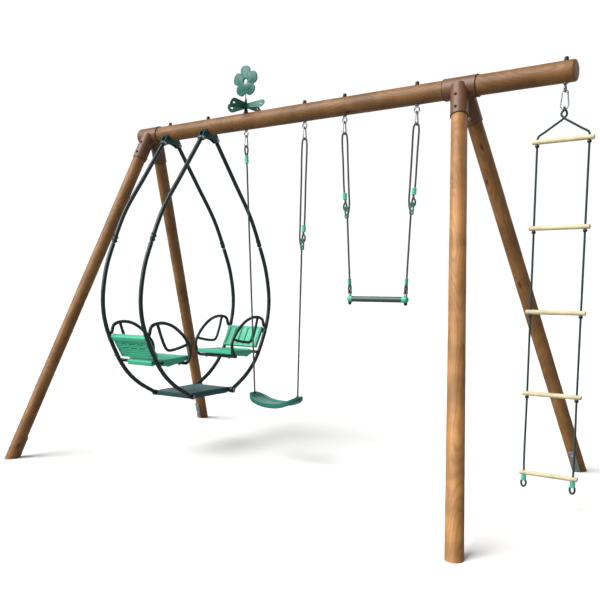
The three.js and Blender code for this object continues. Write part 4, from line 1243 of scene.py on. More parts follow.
pivot_bolt = washered("pivot_bolt", button_head("head", 0.0095, 0.006), 0.0135)
for name in ("left", "right"):
    node = f"glider_hanger_{name}"
    piece(refined(node, f"{node}_pressed", 0.0009), deep_teal, "frame", "dark_teal_plastic", node)
    low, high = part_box(node)
    cheek = 0.0205
    places = [
        standing((through_x(node) + side * cheek, y, PIVOT_Z), (side, 0, 0))
        for side in (-1, 1)
        for y in (-PIVOT_Y, PIVOT_Y)
    ]
    bolts = [copied(pivot_bolt, "bolt", place) for place in places]
    piece(joined(f"{node}_bolts", bolts), zinc, "frame", "zinc")
print("two hangers with four bolts each")

# %% [markdown]
# Each seat has an arch on both sides with an L-shaped hand grip inside it, welded to a tube that
# passes under the seat pan. A second tube crosses under the backrest, with a black plug in each
# end. The places are worked out from the hoop in the same way as in the CAD.

# %% Armrests and seat bars
SEAT_DROP = 1.440
BACKREST_THICKNESS = 0.040
BACKREST_HEIGHT = 0.166
BACKREST_INSET = 0.028
PAN_DEPTH = 0.232
PAN_THICKNESS = 0.050
PAN_NOSE_THICKNESS = 0.028
PAN_RISE = 0.010
PAN_HEEL = 0.046
ARM_RADIUS = 0.011
GRIP_RADIUS = 0.010
SEAT_TOP = PIVOT_Z - SEAT_DROP
seat_foot, seat_up = hoop_at(SEAT_TOP)
PAN_REAR = seat_foot.y - BACKREST_THICKNESS - BACKREST_INSET * 1.4
PAN_FRONT = PAN_REAR - PAN_DEPTH
PAN_BAR_Y = PAN_FRONT + 0.040


def pan_underside(y):
    """Height of a pan's underside at a distance from the middle plane: it slopes to the heel."""
    share = (y - PAN_FRONT) / (PAN_REAR - PAN_HEEL - PAN_FRONT)
    return SEAT_TOP + (1 - share) * (PAN_RISE - PAN_NOSE_THICKNESS) - share * PAN_THICKNESS


PAN_BAR_Z = pan_underside(PAN_BAR_Y) - ARM_RADIUS - 0.0024


def off_hoop(z, away):
    """(y, z) of a point inside the hoop, that far from its middle line."""
    point, up = hoop_at(z)
    return point.y - away * up.z, point.z + away * up.y


ARCH_FOOT = SEAT_TOP + 0.160
ARCH_TOP = SEAT_TOP + 0.238
arch = [
    off_hoop(ARCH_FOOT, TUBE_RADIUS + 0.001), off_hoop(ARCH_FOOT, TUBE_RADIUS + 0.002 + ARM_RADIUS)
]
arch += [(PAN_REAR + y, ARCH_TOP - z) for y, z in ((0.124, 0.046), (0.116, 0.024), (0.090, 0.008))]
arch += [(PAN_REAR + y, ARCH_TOP - z) for y, z in ((0.038, 0), (-0.017, 0.005))]
arch += [
    (PAN_FRONT + y, ARCH_TOP - z)
    for y, z in ((0.152, 0.027), (0.073, 0.081), (0.025, 0.132), (0.002, 0.166))
]
arch += [(PAN_FRONT - 0.003, SEAT_TOP + 0.037), (PAN_FRONT + 0.006, SEAT_TOP + 0.005)]
arch += [(PAN_FRONT + 0.022, PAN_BAR_Z + 0.011), (PAN_BAR_Y, PAN_BAR_Z)]
grip = [(PAN_REAR + y, ARCH_TOP - z) for y, z in ((0.058, 0.006), (0.025, 0.096), (-0.007, 0.160))]
grip += [(PAN_REAR + y, ARCH_TOP - z) for y, z in ((-0.024, 0.176), (-0.050, 0.180))]
grip += [(PAN_FRONT + 0.113, ARCH_TOP - 0.172), (PAN_FRONT + 0.013, ARCH_TOP - 0.150)]
bar_point, bar_up = hoop_at(SEAT_TOP - ARM_RADIUS * 3)
bar_inset = TUBE_RADIUS + ARM_RADIUS + 0.002
SEAT_BAR = (bar_point.y - bar_inset * bar_up.z, bar_point.z + bar_inset * bar_up.y)

for half, way in HALVES:
    body = f"glider_{half}"
    parts = []
    for side in (-1, 1):
        x = GLIDER_X + side * GAUGE / 2
        parts.append(bent("arch", [(x, way * y, z) for y, z in arch], ARM_RADIUS))
        parts.append(bent("grip", [(x, way * y, z) for y, z in grip], GRIP_RADIUS))
    ends = [(GLIDER_X + side * GAUGE / 2, way * PAN_BAR_Y, PAN_BAR_Z) for side in (-1, 1)]
    parts.append(bent("under", ends, ARM_RADIUS, 0.2))
    frame_name = f"{half}_arm_arches"
    piece(joined(frame_name, parts), tube_green, body, "tube_paint", f"glider_{half}_armrest_frame")
    reach = GAUGE / 2 + TUBE_RADIUS
    y, z = way * SEAT_BAR[0], SEAT_BAR[1]
    bar_ends = [(GLIDER_X + side * (reach - 0.004), y, z) for side in (-1, 1)]
    bar = bent("bar", bar_ends, ARM_RADIUS, 0.2)
    piece(bar, tube_green, body, "tube_paint", f"glider_{half}_seat_bar").name = f"{half}_seat_tube"
    plug = [
        (0.0108, 0), (0.0125, 0.0010), (0.0125, 0.0040), (0.0110, 0.0066), (0.0070, 0.0084),
        (0.0015, 0.0090)
    ]
    plugs = []
    for side in (-1, 1):
        at = (GLIDER_X + side * (reach - 0.006), y, z)
        plugs.append(turned_at(standing(at, (side, 0, 0)), "plug", plug))
    piece(joined(f"{half}_seat_tube_plugs", plugs), black_plastic, body, "tube_paint")
print("arm arches and seat tubes")

# %% [markdown]
# The seats are moulded plastic. A backrest starts as one box, is cut across where its features
# lie, and the faces between the cuts are then pushed in or out: a thick ridge along the top, ribs
# and two rows of slots outside, and tapering flutes inside. It is modelled upright at the origin,
# with its outer side towards +Y.

# %% Cutting and pushing faces
AXES = {"x": Vector((1, 0, 0)), "y": Vector((0, 1, 0)), "z": Vector((0, 0, 1))}


def box(name, low, high):
    """A cube stretched between two corners."""
    low, high = Vector(low), Vector(high)
    deselect()
    bpy.ops.mesh.primitive_cube_add(size=1, location=(low + high) / 2, scale=high - low)
    return added(name)


def cut_across(obj, axis, places):
    """Cuts every face of a piece along planes square to an axis."""
    with editing(obj):
        for place in places:
            bpy.ops.mesh.select_all(action="SELECT")
            bpy.ops.mesh.bisect(plane_co=AXES[axis] * place, plane_no=AXES[axis])


def choose(obj, test):
    """Selects, in edit mode, the faces whose middle and normal pass a test. Gives how many."""
    take(obj)
    bpy.ops.object.mode_set(mode="EDIT")
    bpy.ops.mesh.select_mode(type="FACE")
    bpy.ops.mesh.select_all(action="DESELECT")
    mesh = bmesh.from_edit_mesh(obj.data)
    found = [f for f in mesh.faces if test(f.calc_center_median(), f.normal)]
    for face in found:
        face.select = True
    mesh.select_flush_mode()
    bmesh.update_edit_mesh(obj.data)
    return len(found)


def push(obj, test, shift, inset=0.0, size=None, centre=(0, 0, 0)):
    """Extrudes the chosen faces by a shift, after an inset and before a resize."""
    count = choose(obj, test)
    if inset:
        bpy.ops.mesh.inset(thickness=inset)
    bpy.ops.mesh.extrude_region_move(TRANSFORM_OT_translate={"value": tuple(shift)})
    if size:
        bpy.ops.transform.resize(value=size, center_override=centre)
    bpy.ops.object.mode_set(mode="OBJECT")
    return count


def within(value, spans):
    return any(low < value < high for low, high in spans)


# %% [markdown]
# The slots' and flutes' places are lists of spans, so that the same numbers make the cuts and
# choose the faces.

# %% Backrests
SEAT_WIDTH = GAUGE - 2 * (TUBE_RADIUS + 0.0015)
HALF_WIDTH = SEAT_WIDTH / 2
SLOT_ROWS = [(0.066, 0.077), (0.097, 0.108)]
SLOTS = [(x - 0.027, x + 0.027) for x in (-0.078, 0.0, 0.078)]
GROOVES = [(0.014, 0.019), (0.034, 0.039), (0.050, 0.055), (0.084, 0.090), (0.115, 0.120)]
RIDGE = 0.130
FLUTES = [(x - 0.022, x + 0.022) for x in (-0.116, -0.058, 0.0, 0.058, 0.116)]


def ends(spans):
    return [edge for span in spans for edge in span]


def backrest():
    half = BACKREST_THICKNESS / 2
    panel = box(
        "backrest", (-HALF_WIDTH, -half + 0.006, 0), (HALF_WIDTH, half - 0.008, BACKREST_HEIGHT)
    )
    cut_across(panel, "z", [RIDGE, *ends(SLOT_ROWS), *ends(GROOVES)])
    cut_across(panel, "x", [*ends(SLOTS), -HALF_WIDTH + 0.010, HALF_WIDTH - 0.010])
    edge = HALF_WIDTH - 0.010
    ridge = lambda c, n: n.y > 0.9 and c.z > RIDGE
    push(panel, ridge, (0, 0.008, 0), size=(1, 1, 0.9), centre=(0, 0, 0.148))
    groove = lambda c, n: n.y > 0.9 and abs(c.x) < edge and within(c.z, GROOVES)
    push(panel, groove, (0, -0.0045, 0))
    slot = lambda c, n: n.y > 0.9 and within(c.x, SLOTS) and within(c.z, SLOT_ROWS)
    count = push(panel, slot, (0, -0.0205, 0))
    cut_across(panel, "x", ends(FLUTES))
    cut_across(panel, "z", [0.010, BACKREST_HEIGHT - 0.014])
    land = lambda c, n: n.y < -0.9 and 0.010 < c.z < BACKREST_HEIGHT - 0.014
    for low, high in FLUTES:
        middle_x = (low + high) / 2
        inside = lambda c, n: land(c, n) and low < c.x < high
        push(panel, inside, (0, 0.0055, 0), size=(0.78, 1, 0.96), centre=(middle_x, 0, 0.083))
    ribs = lambda c, n: land(c, n) and not within(c.x, FLUTES) and abs(c.x) < HALF_WIDTH - 0.012
    push(panel, ribs, (0, -0.0045, 0), size=(1, 1, 0.97), centre=(0, 0, 0.083))
    print("backrest with", count, "slot faces")
    return softened(outwards(panel), 0.0016, 2, 28)


# %% [markdown]
# The pan is a shallow box with a rounded nose. Its top is fluted from front to back, and its
# underside is hollowed so that it reads as a moulding when seen from below.

# %% Seat pans
def seat_pan():
    """The rear seat's pan, in place."""
    pan = box(
        "pan", (-HALF_WIDTH, PAN_FRONT, SEAT_TOP - PAN_THICKNESS), (HALF_WIDTH, PAN_REAR, SEAT_TOP)
    )
    nose, heel = PAN_FRONT + 0.030, PAN_REAR - PAN_HEEL
    cut_across(pan, "y", [nose, heel, PAN_REAR - 0.012])
    cut_across(pan, "x", [-HALF_WIDTH + 0.014, HALF_WIDTH - 0.014])
    for vertex in pan.data.vertices:
        place = vertex.co
        above = place.z > SEAT_TOP - 0.01
        share = min(1, max(0, (heel - place.y) / (heel - PAN_FRONT)))
        if above:
            place.z = SEAT_TOP + PAN_RISE * share
        elif place.y > heel + 0.001:
            place.z = SEAT_TOP - PAN_THICKNESS + (place.y - heel) / PAN_HEEL * PAN_THICKNESS * 0.6
        else:
            place.z = pan_underside(place.y)
    centre = (0, PAN_FRONT + 0.11, SEAT_TOP)
    under = lambda c, n: n.z < -0.7 and abs(c.x) < HALF_WIDTH - 0.014 and nose < c.y < heel
    push(pan, under, (0, 0, 0.014), size=(0.97, 0.97, 1), centre=centre)
    flutes = [(x - 0.0155, x + 0.0155) for x in [-0.125 + 0.050 * i for i in range(6)]]
    cut_across(pan, "x", ends(flutes))
    top = lambda c, n: n.z > 0.8 and nose < c.y < PAN_REAR - 0.012
    for low_x, high_x in flutes:
        inside = lambda c, n: top(c, n) and low_x < c.x < high_x
        flute_middle = ((low_x + high_x) / 2, centre[1], 0)
        push(pan, inside, (0, 0, -0.0045), size=(0.80, 0.985, 1), centre=flute_middle)
    return softened(outwards(pan), 0.0036, 3, 40)


glider_middle = Matrix.Translation((GLIDER_X, 0, 0))
half_turn = Matrix.Rotation(math.pi, 4, "Z")
lean_out = Vector((0, seat_up.y, seat_up.z))
outer = Vector((0, seat_up.z, -seat_up.y))
back_foot = Vector((0, seat_foot.y, seat_foot.z)) - outer * BACKREST_INSET
upright = Matrix.Translation(back_foot) @ Matrix((AXES["x"], outer, lean_out)).transposed().to_4x4()
back_model, pan_model = backrest(), seat_pan()
for half, turn in (("front", half_turn), ("rear", Matrix.Identity(4))):
    body = f"glider_{half}"
    back = copied(back_model, f"{half}_moulded_back", glider_middle @ turn @ upright)
    piece(back, mint, body, "mint_plastic", f"glider_{half}_backrest")
    pan = copied(pan_model, f"{half}_moulded_pan", glider_middle @ turn)
    piece(pan, mint, body, "mint_plastic", f"glider_{half}_seat_pan")
    seat_screws = []
    for side in (-1, 1):
        for high in (0.030, 0.128):
            point, up = hoop_at(SEAT_TOP + high)
            out = Vector((0, up.z, -up.y))
            at = Vector((side * GAUGE / 2, point.y, point.z)) + out * (TUBE_RADIUS - 0.0004)
            seat_screws.append(copied(domed_nut, "s", glider_middle @ turn @ standing(at, out)))
        at = Vector((side * 0.11, PAN_BAR_Y, PAN_BAR_Z - ARM_RADIUS + 0.0006))
        seat_screws.append(copied(domed_nut, "s", glider_middle @ turn @ standing(at, (0, 0, -1))))
    piece(joined(f"{half}_seat_screws", seat_screws), zinc, body, "zinc")
    clip = softened(box("clip", (-0.116, -0.019, -0.0175), (0.116, 0.026, 0.0175)), 0.008, 4)
    at = Matrix.Translation((0, *SEAT_BAR)) @ Matrix.Rotation(-0.42, 4, "X")
    clip = moved(clip, glider_middle @ turn @ at)
    clip.name = f"{half}_seat_tube_clip"
    piece(clip, mint, body, "mint_plastic")
for spare in (back_model, pan_model, cap, pivot_bolt):
    bpy.data.objects.remove(spare)
print("moulded seats in place")

# %% [markdown]
# The footrest is a thick moulded board. Its front and rear faces are drawn out into wedges that
# close round the two rods, its top has anti-slip bars, and its underside is hollow with cross
# ribs.

# %% Footrest
FOOT_HALF_WIDTH = (GAUGE - EYE_LENGTH - 0.003 - 0.008) / 2
FOOT_HALF_DEPTH = 0.170
FOOT_HALF_THICK = 0.020


def footrest():
    low = (-FOOT_HALF_WIDTH, -FOOT_HALF_DEPTH, -FOOT_HALF_THICK)
    board = box("board", low, (FOOT_HALF_WIDTH, FOOT_HALF_DEPTH, FOOT_HALF_THICK))
    reach = rear_rod.y + 0.013 - FOOT_HALF_DEPTH
    for way in (-1, 1):
        size, centre = (0.93, 1, 0.72), (0, way * 0.2, 0)
        push(board, lambda c, n: n.y * way > 0.9, (0, way * reach, 0), size=size, centre=centre)
    bars = [(-0.140 + 0.040 * i - 0.011, -0.140 + 0.040 * i + 0.011) for i in range(8)]
    cut_across(board, "y", [*ends(bars)])
    edge = FOOT_HALF_WIDTH - 0.022
    cut_across(board, "x", [-edge, -0.004, 0.004, edge])
    push(board, lambda c, n: n.z > 0.9 and abs(c.x) < edge and within(c.y, bars), (0, 0, -0.0032))
    hollow = lambda c, n: n.z < -0.9 and 0.004 < abs(c.x) < edge and abs(c.y) < 0.152
    push(board, lambda c, n: hollow(c, n) and within(c.y, bars), (0, 0, 0.020))
    return softened(outwards(board), 0.0020, 2, 30)


board = moved(footrest(), Matrix.Translation((GLIDER_X, 0, ROD_Z)))
piece(
    board, deep_teal, "footrest", "dark_teal_plastic", "footrest_board"
).name = "footrest_moulding"
for half, rod in (("front", front_rod), ("rear", rear_rod)):
    low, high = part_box(f"footrest_{half}_rod")
    ends_x = [(low.x + 0.001, rod.y, rod.z), (high.x - 0.001, rod.y, rod.z)]
    bar = bent(f"{half}_foot_rod", ends_x, 0.008, 0.3)
    piece(bar, tube_green, "footrest", "tube_paint", f"footrest_{half}_rod")
    heads = []
    for side, x in ((-1, low.x), (1, high.x)):
        head = washered("head", button_head("head", 0.0090, 0.0056), 0.0118)
        heads.append(moved(head, standing((x - side * 0.0030, rod.y, rod.z), (side, 0, 0))))
    piece(joined(f"{half}_foot_rod_heads", heads), zinc, "footrest", "zinc")
for spare in (screw, domed_nut):
    bpy.data.objects.remove(spare)
print("footrest board and rods")

# %% [markdown]
# The swing's seat is blow moulded: a hollow strip that dips between two level ears, with a rolled
# rim round a slightly dished top. A box is cut across into slices, subdivision rounds the whole,
# and each slice is then lowered to the curve.

# %% Swing seat
SEAT_LOW, SEAT_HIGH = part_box("swing_seat")
SEAT_HALF = (SEAT_HIGH.x - SEAT_LOW.x) / 2
SEAT_DEPTH = SEAT_HIGH.y - SEAT_LOW.y
SEAT_THICK = 0.034
SEAT_SAG = SEAT_HIGH.z - SEAT_LOW.z - SEAT_THICK


def sag(x):
    """How far the seat dips at a distance from its middle."""
    return SEAT_SAG * (1 - min(1.0, abs(x) / (SEAT_HALF - 0.014)) ** 2.3)


def swing_seat():
    slices = 18
    seat = box("seat", (-SEAT_HALF, -SEAT_DEPTH / 2, -SEAT_THICK), (SEAT_HALF, SEAT_DEPTH / 2, 0))
    cut_across(seat, "x", [-SEAT_HALF + 2 * SEAT_HALF * i / slices for i in range(1, slices)])
    rim = 0.022
    cut_across(seat, "y", [-SEAT_DEPTH / 2 + rim, 0, SEAT_DEPTH / 2 - rim])
    corner = SEAT_DEPTH / 2 - 0.004
    for vertex in seat.data.vertices:
        past = max(0.0, abs(vertex.co.x) - (SEAT_HALF - corner)) / corner
        vertex.co.y *= max(0.30, math.sqrt(max(0.0, 1 - past * past)))
    inner = lambda c: abs(c.y) < SEAT_DEPTH / 2 - rim and abs(c.x) < SEAT_HALF - 0.045
    push(seat, lambda c, n: n.z > 0.9 and inner(c), (0, 0, -0.0085), size=(0.98, 0.90, 1))
    push(seat, lambda c, n: n.z < -0.9 and inner(c), (0, 0, 0.0080), size=(0.98, 0.86, 1))
    choose(seat, lambda c, n: abs(n.x) > 0.5 and abs(c.x) > SEAT_HALF - 0.03)
    bpy.ops.transform.resize(value=(1, 1, 0.80), center_override=(0, 0, -SEAT_THICK / 2))
    bpy.ops.object.mode_set(mode="OBJECT")
    bevelled(seat, 0.006, 2, 50)
    modified(seat, "SUBSURF", levels=2, render_levels=2)
    for vertex in seat.data.vertices:
        vertex.co.z -= sag(vertex.co.x)
    return smoothed(outwards(seat), 60)


seat_middle = Matrix.Translation((SWING.x, 0, SEAT_HIGH.z))
seat = moved(swing_seat(), seat_middle)
piece(seat, teal, "swing_seat", "teal_plastic", "swing_seat").name = "swing_moulded_seat"
knots = []
for side in (-1, 1):
    collar = [
        (0.0095, 0), (0.0118, 0.0012), (0.0118, 0.0040), (0.0092, 0.0060), (0.0075, 0.0092),
        (0.0066, 0.0100)
    ]
    at = (SWING.x + side * SEAT_ROPES, 0, SEAT_HIGH.z - sag(SEAT_ROPES) - 0.002)
    knots.append(turned_at(Matrix.Translation(at), "grommet", collar, 28, 50))
piece(joined("swing_seat_grommets", knots), black_plastic, "swing_seat", "tube_paint")
print("swing seat sags", round(SEAT_SAG, 3), "m")

# %% [markdown]
# The trapeze bar is a steel tube in a ribbed sleeve, with a round moulded cap over each end. The
# eye bolts go down through the caps, and black nuts close them underneath.

# %% Trapeze bar
bar_low, bar_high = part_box("trapeze_bar")
CAP = 0.034
bar_length = bar_high.x - bar_low.x
bar_profile = [(0.0160, 0.012), (0.0170, 0.013)]
bar_profile += [(0.0170, bar_length - 0.013), (0.0160, bar_length - 0.012)]
bar = turned("trapeze_grip_tube", bar_profile, 56)
bar_axis = standing((bar_low.x, BAR.y, BAR.z), (1, 0, 0))
piece(
    smoothed(moved(bar, bar_axis), 40), bar_grey, "trapeze_bar", "dark_teal_plastic", "trapeze_bar"
)
cap_shape = [
    (0.0080, 0), (0.0135, 0.0014), (0.0175, 0.0050), (0.0196, 0.0105), (0.0200, 0.0180),
    (0.0196, 0.0255)
]
cap_shape += [(0.0182, 0.0310), (0.0176, 0.0332), (0.0170, CAP)]
end_caps, nuts = [], []
for side, x in ((1, bar_low.x), (-1, bar_high.x)):
    end_cap = smoothed(turned("cap", cap_shape, 40), 45)
    end_caps.append(moved(end_cap, standing((x, BAR.y, BAR.z), (side, 0, 0))))
for side in ("left", "right"):
    x = middle(f"trapeze_bar_eye_{side}").x
    profile = [
        (0.0100, 0), (0.0105, 0.002), (0.0105, 0.007), (0.0088, 0.012), (0.0052, 0.0155),
        (0.0015, 0.0165)
    ]
    nuts.append(turned_at(standing((x, 0, BAR.z - 0.0185), (0, 0, -1)), "nut", profile))
    node = f"trapeze_bar_eye_{side}"
    low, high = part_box(node)
    centre = Vector((x, 0, high.z - 0.0145))
    ring = bent("ring", arc(centre, 0.010, -90, 270, 18), 0.0042, 0.002, closed=True)
    shank = moved(
        turned("shank", [(0.005, 0), (0.005, 0.034)], 16), Matrix.Translation((x, 0, BAR.z))
    )
    collar = turned(
        "collar",
        [(0.0105, 0), (0.0115, 0.001), (0.0115, 0.003), (0.0085, 0.0065), (0.0055, 0.008)], 24
    )
    moved(collar, Matrix.Translation((x, 0, BAR.z + 0.0190)))
    piece(
        smoothed(joined(f"{node}_forged", [ring, shank, collar]), 45), zinc, "trapeze_bar", "zinc",
        node
    )
piece(joined("trapeze_end_caps", end_caps), mint, "trapeze_bar", "mint_plastic")
piece(joined("trapeze_cap_nuts", nuts), black_plastic, "trapeze_bar", "tube_paint")
print("trapeze bar", round(bar_length, 3), "m long")

# %% [markdown]
# The ladder's rungs are dowels of bare pale wood with eased ends. Each has its own stretch of
# grain. Under each rung a black stop bead is crimped on both ropes.

# %% Rungs and stop beads
RUNG_RADIUS = 0.012
PALE = (0.74, 0.66, 0.43, 1)
PALE_LATE = (0.66, 0.57, 0.35, 1)
PALE_KNOT = (0.55, 0.45, 0.27, 1)
beads, ferrules = [], []
for number in range(1, 6):
    node = f"ladder_rung_{number}"
    low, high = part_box(node)
    length = high.x - low.x
    ease = 0.0028
    profile = [(RUNG_RADIUS - ease, 0), (RUNG_RADIUS - ease * 0.3, ease * 0.3), (RUNG_RADIUS, ease)]
    profile += [(RUNG_RADIUS, length * i / 12) for i in range(1, 12)]
    profile += [(RUNG_RADIUS, length - ease)]
    profile += [(RUNG_RADIUS - ease * 0.3, length - ease * 0.3), (RUNG_RADIUS - ease, length)]
    matrix = standing((low.x, 0, (low.z + high.z) / 2), (1, 0, 0))
    dowel = moved(smoothed(turned(f"rung_{number}_dowel", profile, 40), 45), matrix)
    wood = timber_finish(
        f"pale_rung_{number}", matrix, PALE, PALE_LATE, PALE_KNOT, 0.7 * number, 260.0, 0.03
    )
    piece(dowel, wood, "ladder", "pale_wood", node)
    if number < 5:
        stop = [
            (0.0075, 0), (0.0102, 0.0025), (0.0110, 0.0065), (0.0102, 0.0110), (0.0082, 0.0135),
            (0.0065, 0.0142)
        ]
        for side in (-1, 1):
            at = (LADDER.x + side * RUNG_ROPES, 0, low.z - 0.0146)
            beads.append(turned_at(Matrix.Translation(at), "bead", stop, 28, 50))
piece(joined("ladder_stop_beads", beads), black_plastic, "ladder", "tube_paint")
print("five rungs and", len(beads), "beads")

# %% [markdown]
# A ferrule is a plastic clip closed over two strands. It is turned with four ridges and then
# narrowed, because two strands side by side are wider than they are deep.

# %% Ferrules
def tipped(place, direction):
    """The matrix that tips an upright piece over to a direction, without turning it, at a place."""
    turn = Vector((0, 0, 1)).rotation_difference(Vector(direction).normalized())
    return Matrix.Translation(place) @ turn.to_matrix().to_4x4()


def ferrule(high, place, direction, wide_along):
    """A ridged clip of a given height, its long side along x or y."""
    ridge = high / 7
    profile = [(0.0098, 0), (0.0112, 0.0012)]
    for i in range(4):
        base = 0.0012 + ridge * (i * 1.75)
        profile += [
            (0.0134, base + ridge * 0.15), (0.0134, base + ridge * 0.95),
            (0.0112, base + ridge * 1.10)
        ]
        if i < 3:
            profile += [(0.0112, base + ridge * 1.65)]
    profile = [p for p in profile if p[1] < high - 0.001]
    profile += [(0.0112, high - 0.0008), (0.0098, high)]
    clip = turned("ferrule", profile, 32)
    narrow = (1.06, 0.70, 1) if wide_along == "x" else (0.70, 1.06, 1)
    with editing(clip):
        bpy.ops.transform.resize(value=narrow, center_override=(0, 0, 0))
    return smoothed(moved(clip, tipped(place, direction)), 40)


def along_line(line_x):
    return Vector((line_x(1.0) - line_x(0.0), 0, 1)).normalized()


# %% [markdown]
# The adjuster is a flat plate with three holes that the rope is laced through. A box is
# rounded off and the holes are bored with a boolean cut.

# %% Adjusters
def adjuster(place, direction):
    """A three-holed plate whose long side lies along a direction."""
    plate = box("plate", (-0.0125, -0.0042, -0.036), (0.0125, 0.0042, 0.036))
    with editing(plate, "DESELECT") as mesh:
        for edge in mesh.edges:
            a, b = (v.co for v in edge.verts)
            edge.select = abs((a - b).y) > 0.005
        bmesh.update_edit_mesh(plate.data)
        bpy.ops.mesh.bevel(offset=0.0105, segments=5)
    for z in (-0.022, 0.0, 0.022):
        bored(plate, 0.0066, 0.02, standing((0, 0, z), (0, 1, 0)), 24)
    softened(plate, 0.0012, 2, 40)
    return moved(plate, tipped(place, direction))


clips = {"swing": [], "trapeze": []}
plates = {"swing": [], "trapeze": []}
way = along_line(left_line)
clips["swing"].append(ferrule(0.050, (left_line(1.939), 0, 1.939), way, "x"))
way = along_line(right_line)
clips["swing"].append(ferrule(0.042, (right_line(1.489) + 0.0125, 0, 1.489), way, "x"))
plates["swing"].append(adjuster((right_line(1.415) + 0.004, 0, 1.415), way))
for side, line_x in bar_lines.items():
    way = along_line(line_x)
    toward = 1 if side == "left" else -1
    clips["trapeze"].append(ferrule(0.038, (line_x(1.667) - toward * 0.0125, 0, 1.667), way, "x"))
    clips["trapeze"].append(ferrule(0.039, (line_x(1.165), 0, 1.165), way, "y"))
    plates["trapeze"].append(adjuster((line_x(1.592) - toward * 0.004, 0, 1.592), way))
for owner in ("swing", "trapeze"):
    piece(joined(f"{owner}_rope_ferrules", clips[owner]), mint, f"{owner}_ropes", "mint_plastic")
    piece(
        joined(f"{owner}_rope_adjusters", plates[owner]), spinner_teal, f"{owner}_ropes",
        "teal_plastic"
    )
for side in (-1, 1):
    at = (LADDER.x + side * RUNG_ROPES, 0, LOWEST_RUNG - 0.0445)
    ferrules.append(ferrule(0.031, at, (0, 0, 1), "x"))
piece(joined("ladder_rope_ferrules", ferrules), mint, "ladder", "mint_plastic")
print("ferrules and adjusters")

# %% [markdown]
# The wind spinner stands over one of the swing's bolts. Its blades are pitched so that the wind
# turns them, and each has a slot near its round tip. One blade is modelled flat, bored for the
# slot, twisted to its pitch, and copied round the hub.

# %% Spinner
SPINNER_X = middle("spinner_propeller").x
SPINNER_Z = middle("spinner_propeller").z
BLADE_PITCH = math.radians(58)


def blade():
    """One flat blade along +X, pitched about its length."""
    tip, round_tip = 0.121, 0.029
    paddle = box("blade", (0.010, -0.019, -0.002), (tip, 0.019, 0.002))
    choose(paddle, lambda c, n: n.x > 0.9)
    bpy.ops.transform.resize(value=(1, round_tip / 0.019, 1), center_override=(0, 0, 0))
    bpy.ops.object.mode_set(mode="OBJECT")
    disc = turned("disc", [(round_tip, -0.002), (round_tip, 0.002)], 40)
    cut_with(paddle, moved(disc, Matrix.Translation((tip, 0, 0))), "UNION")
    slot_start, slot_half, reach = tip - 0.008, 0.006, 0.01
    for x in (tip, slot_start):
        bored(paddle, slot_half, reach, Matrix.Translation((x, 0, 0)), 28)
    slot = box("slot", (slot_start, -slot_half, -reach), (tip, slot_half, reach))
    cut_with(paddle, slot, "DIFFERENCE")
    softened(paddle, 0.0006, 2, 40)
    return moved(paddle, Matrix.Rotation(BLADE_PITCH, 4, "X"))


one = blade()
quarter = math.pi / 2
copies = [copied(one, "blade", Matrix.Rotation(quarter * i, 4, "Z")) for i in range(4)]
bpy.data.objects.remove(one)
hub_profile = [(0.0150, -0.014), (0.0170, -0.012), (0.0170, 0.012), (0.0155, 0.014)]
copies.append(smoothed(turned("hub", hub_profile, 36), 40))
spinner = moved(joined("spinner_blades", copies), Matrix.Translation((SPINNER_X, 0, SPINNER_Z)))
piece(spinner, spinner_teal, "spinner", "teal_plastic", "spinner_propeller")
post_low, post_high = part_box("spinner_post")
base = post_low.z
post_profile = [
    (0.0165, 0), (0.0165, 0.004), (0.0150, 0.006), (0.0125, 0.007), (0.0125, 0.016), (0.0110, 0.021)
]
post_profile += [
    (0.0080, 0.024), (0.0080, 0.025), (0.0120, 0.026), (0.0120, 0.030), (0.0080, 0.031)
]
post_profile += [(0.0080, post_high.z - base - 0.0012), (0.0068, post_high.z - base)]
post = smoothed(turned("spinner_stand", post_profile, 32), 40)
piece(
    moved(post, Matrix.Translation((SPINNER_X, 0, base))), black_plastic, "frame", "tube_paint",
    "spinner_post"
)
print("four blades on the spinner")

# %% [markdown]
# A plain flower plate takes the place of a figure on top, on a thin stem. Its outline is a circle
# whose points are moved in and out five times round. The disc is extruded, its edges are eased,
# and the eye is bored. A smaller raised flower is laid on both faces.

# %% Flower plate
flower_low, flower_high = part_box("spinner_flower_plate")
FLOWER_THICK = 0.009
FLOWER_WIDTH = 0.192
plate_z = flower_high.z - FLOWER_WIDTH / 2


def flower(name, radius, thick, waist):
    """A five-petalled plate in the XZ plane, one petal up."""
    deselect()
    bpy.ops.mesh.primitive_circle_add(
        vertices=160, radius=radius, fill_type="NGON", location=(0, 0, -thick / 2)
    )
    plate = added(name)
    for vertex in plate.data.vertices:
        turn = math.atan2(vertex.co.y, vertex.co.x)
        share = 1 - waist * (1 - abs(math.cos(2.5 * (turn - math.pi / 2)))) ** 1.6
        vertex.co.x *= share
        vertex.co.y *= share
    with editing(plate):
        bpy.ops.mesh.extrude_region_move(TRANSFORM_OT_translate={"value": (0, 0, thick)})
    return moved(outwards(plate), Matrix.Rotation(math.pi / 2, 4, "X"))


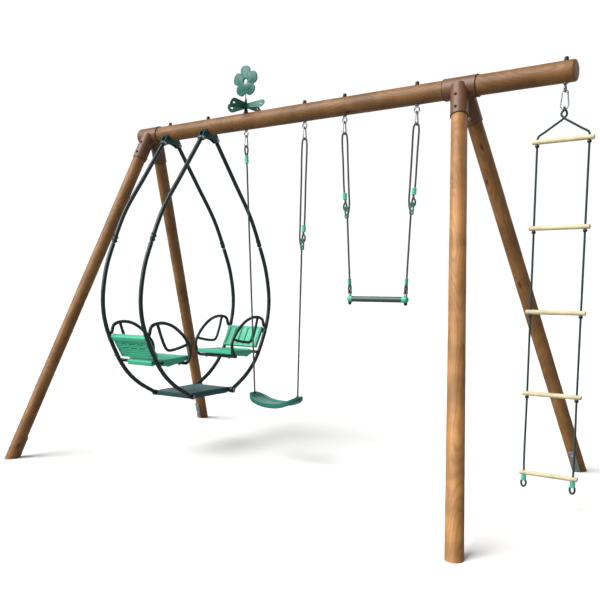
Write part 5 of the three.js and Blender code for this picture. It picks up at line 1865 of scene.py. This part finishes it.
def at_flower(obj):
    return moved(obj, Matrix.Translation((SPINNER_X, 0, plate_z)))


plate = flower("flower_plate", FLOWER_WIDTH / 2, FLOWER_THICK, 0.34)
for way in (-1, 1):
    raised = flower("raised", FLOWER_WIDTH * 0.30, 0.003, 0.34)
    cut_with(plate, moved(raised, Matrix.Translation((0, way * FLOWER_THICK / 2, 0))), "UNION")
bored(plate, 0.0165, 0.02, standing((0, 0, 0), (0, 1, 0)), 48)
softened(plate, 0.0008, 2, 50)
low = flower_low.z - plate_z
stem = turned("stem", [(0.0030, low), (0.0030, -FLOWER_WIDTH * 0.36)], 20)
foot = turned(
    "foot", [(0.0072, low), (0.0072, low + 0.010), (0.0050, low + 0.014), (0.0032, low + 0.016)], 24
)
whole = at_flower(joined("flower_plate_and_stem", [plate, smoothed(stem, 40), smoothed(foot, 40)]))
piece(whole, spinner_teal, "frame", "teal_plastic", "spinner_flower_plate")
print("flower plate at", round(plate_z, 3))

# %% [markdown]
# Galvanised straps go down from the legs' feet into the ground. The CAD's strap is refined with
# pressed edges and gets two coach bolts.

# %% Ground anchors
coach = washered("coach", button_head("head", 0.0090, 0.0050, key=0.3), 0.0125)
for name, (foot, up) in legs.items():
    node = f"ground_anchor_{name}"
    strap = refined(node, f"{node}_strap", 0.0007)
    centre = middle(node)
    away = centre - (foot + up * (centre - foot).dot(up))
    away.normalize()
    bolts = [
        copied(coach, "bolt", standing(foot + up * high + away * (LEG_RADIUS + 0.0052), away))
        for high in (0.075, 0.135)
    ]
    piece(strap, zinc, "frame", "zinc", node)
    piece(joined(f"{node}_bolts", bolts), zinc, "frame", "zinc")
bpy.data.objects.remove(coach)
print("four anchors")

# %% [markdown]
# Every rope rides with what it hangs from.

ROPE_OWNERS = {"swing": "swing_ropes", "trapeze": "trapeze_ropes", "ladder": "ladder"}
for name, (cord, line) in ropes.items():
    owner = name.split("_")[0]
    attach(cord, ROPE_OWNERS[owner])
    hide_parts(name.replace("_", "_rope_") if "_" in name else "ladder_rope")
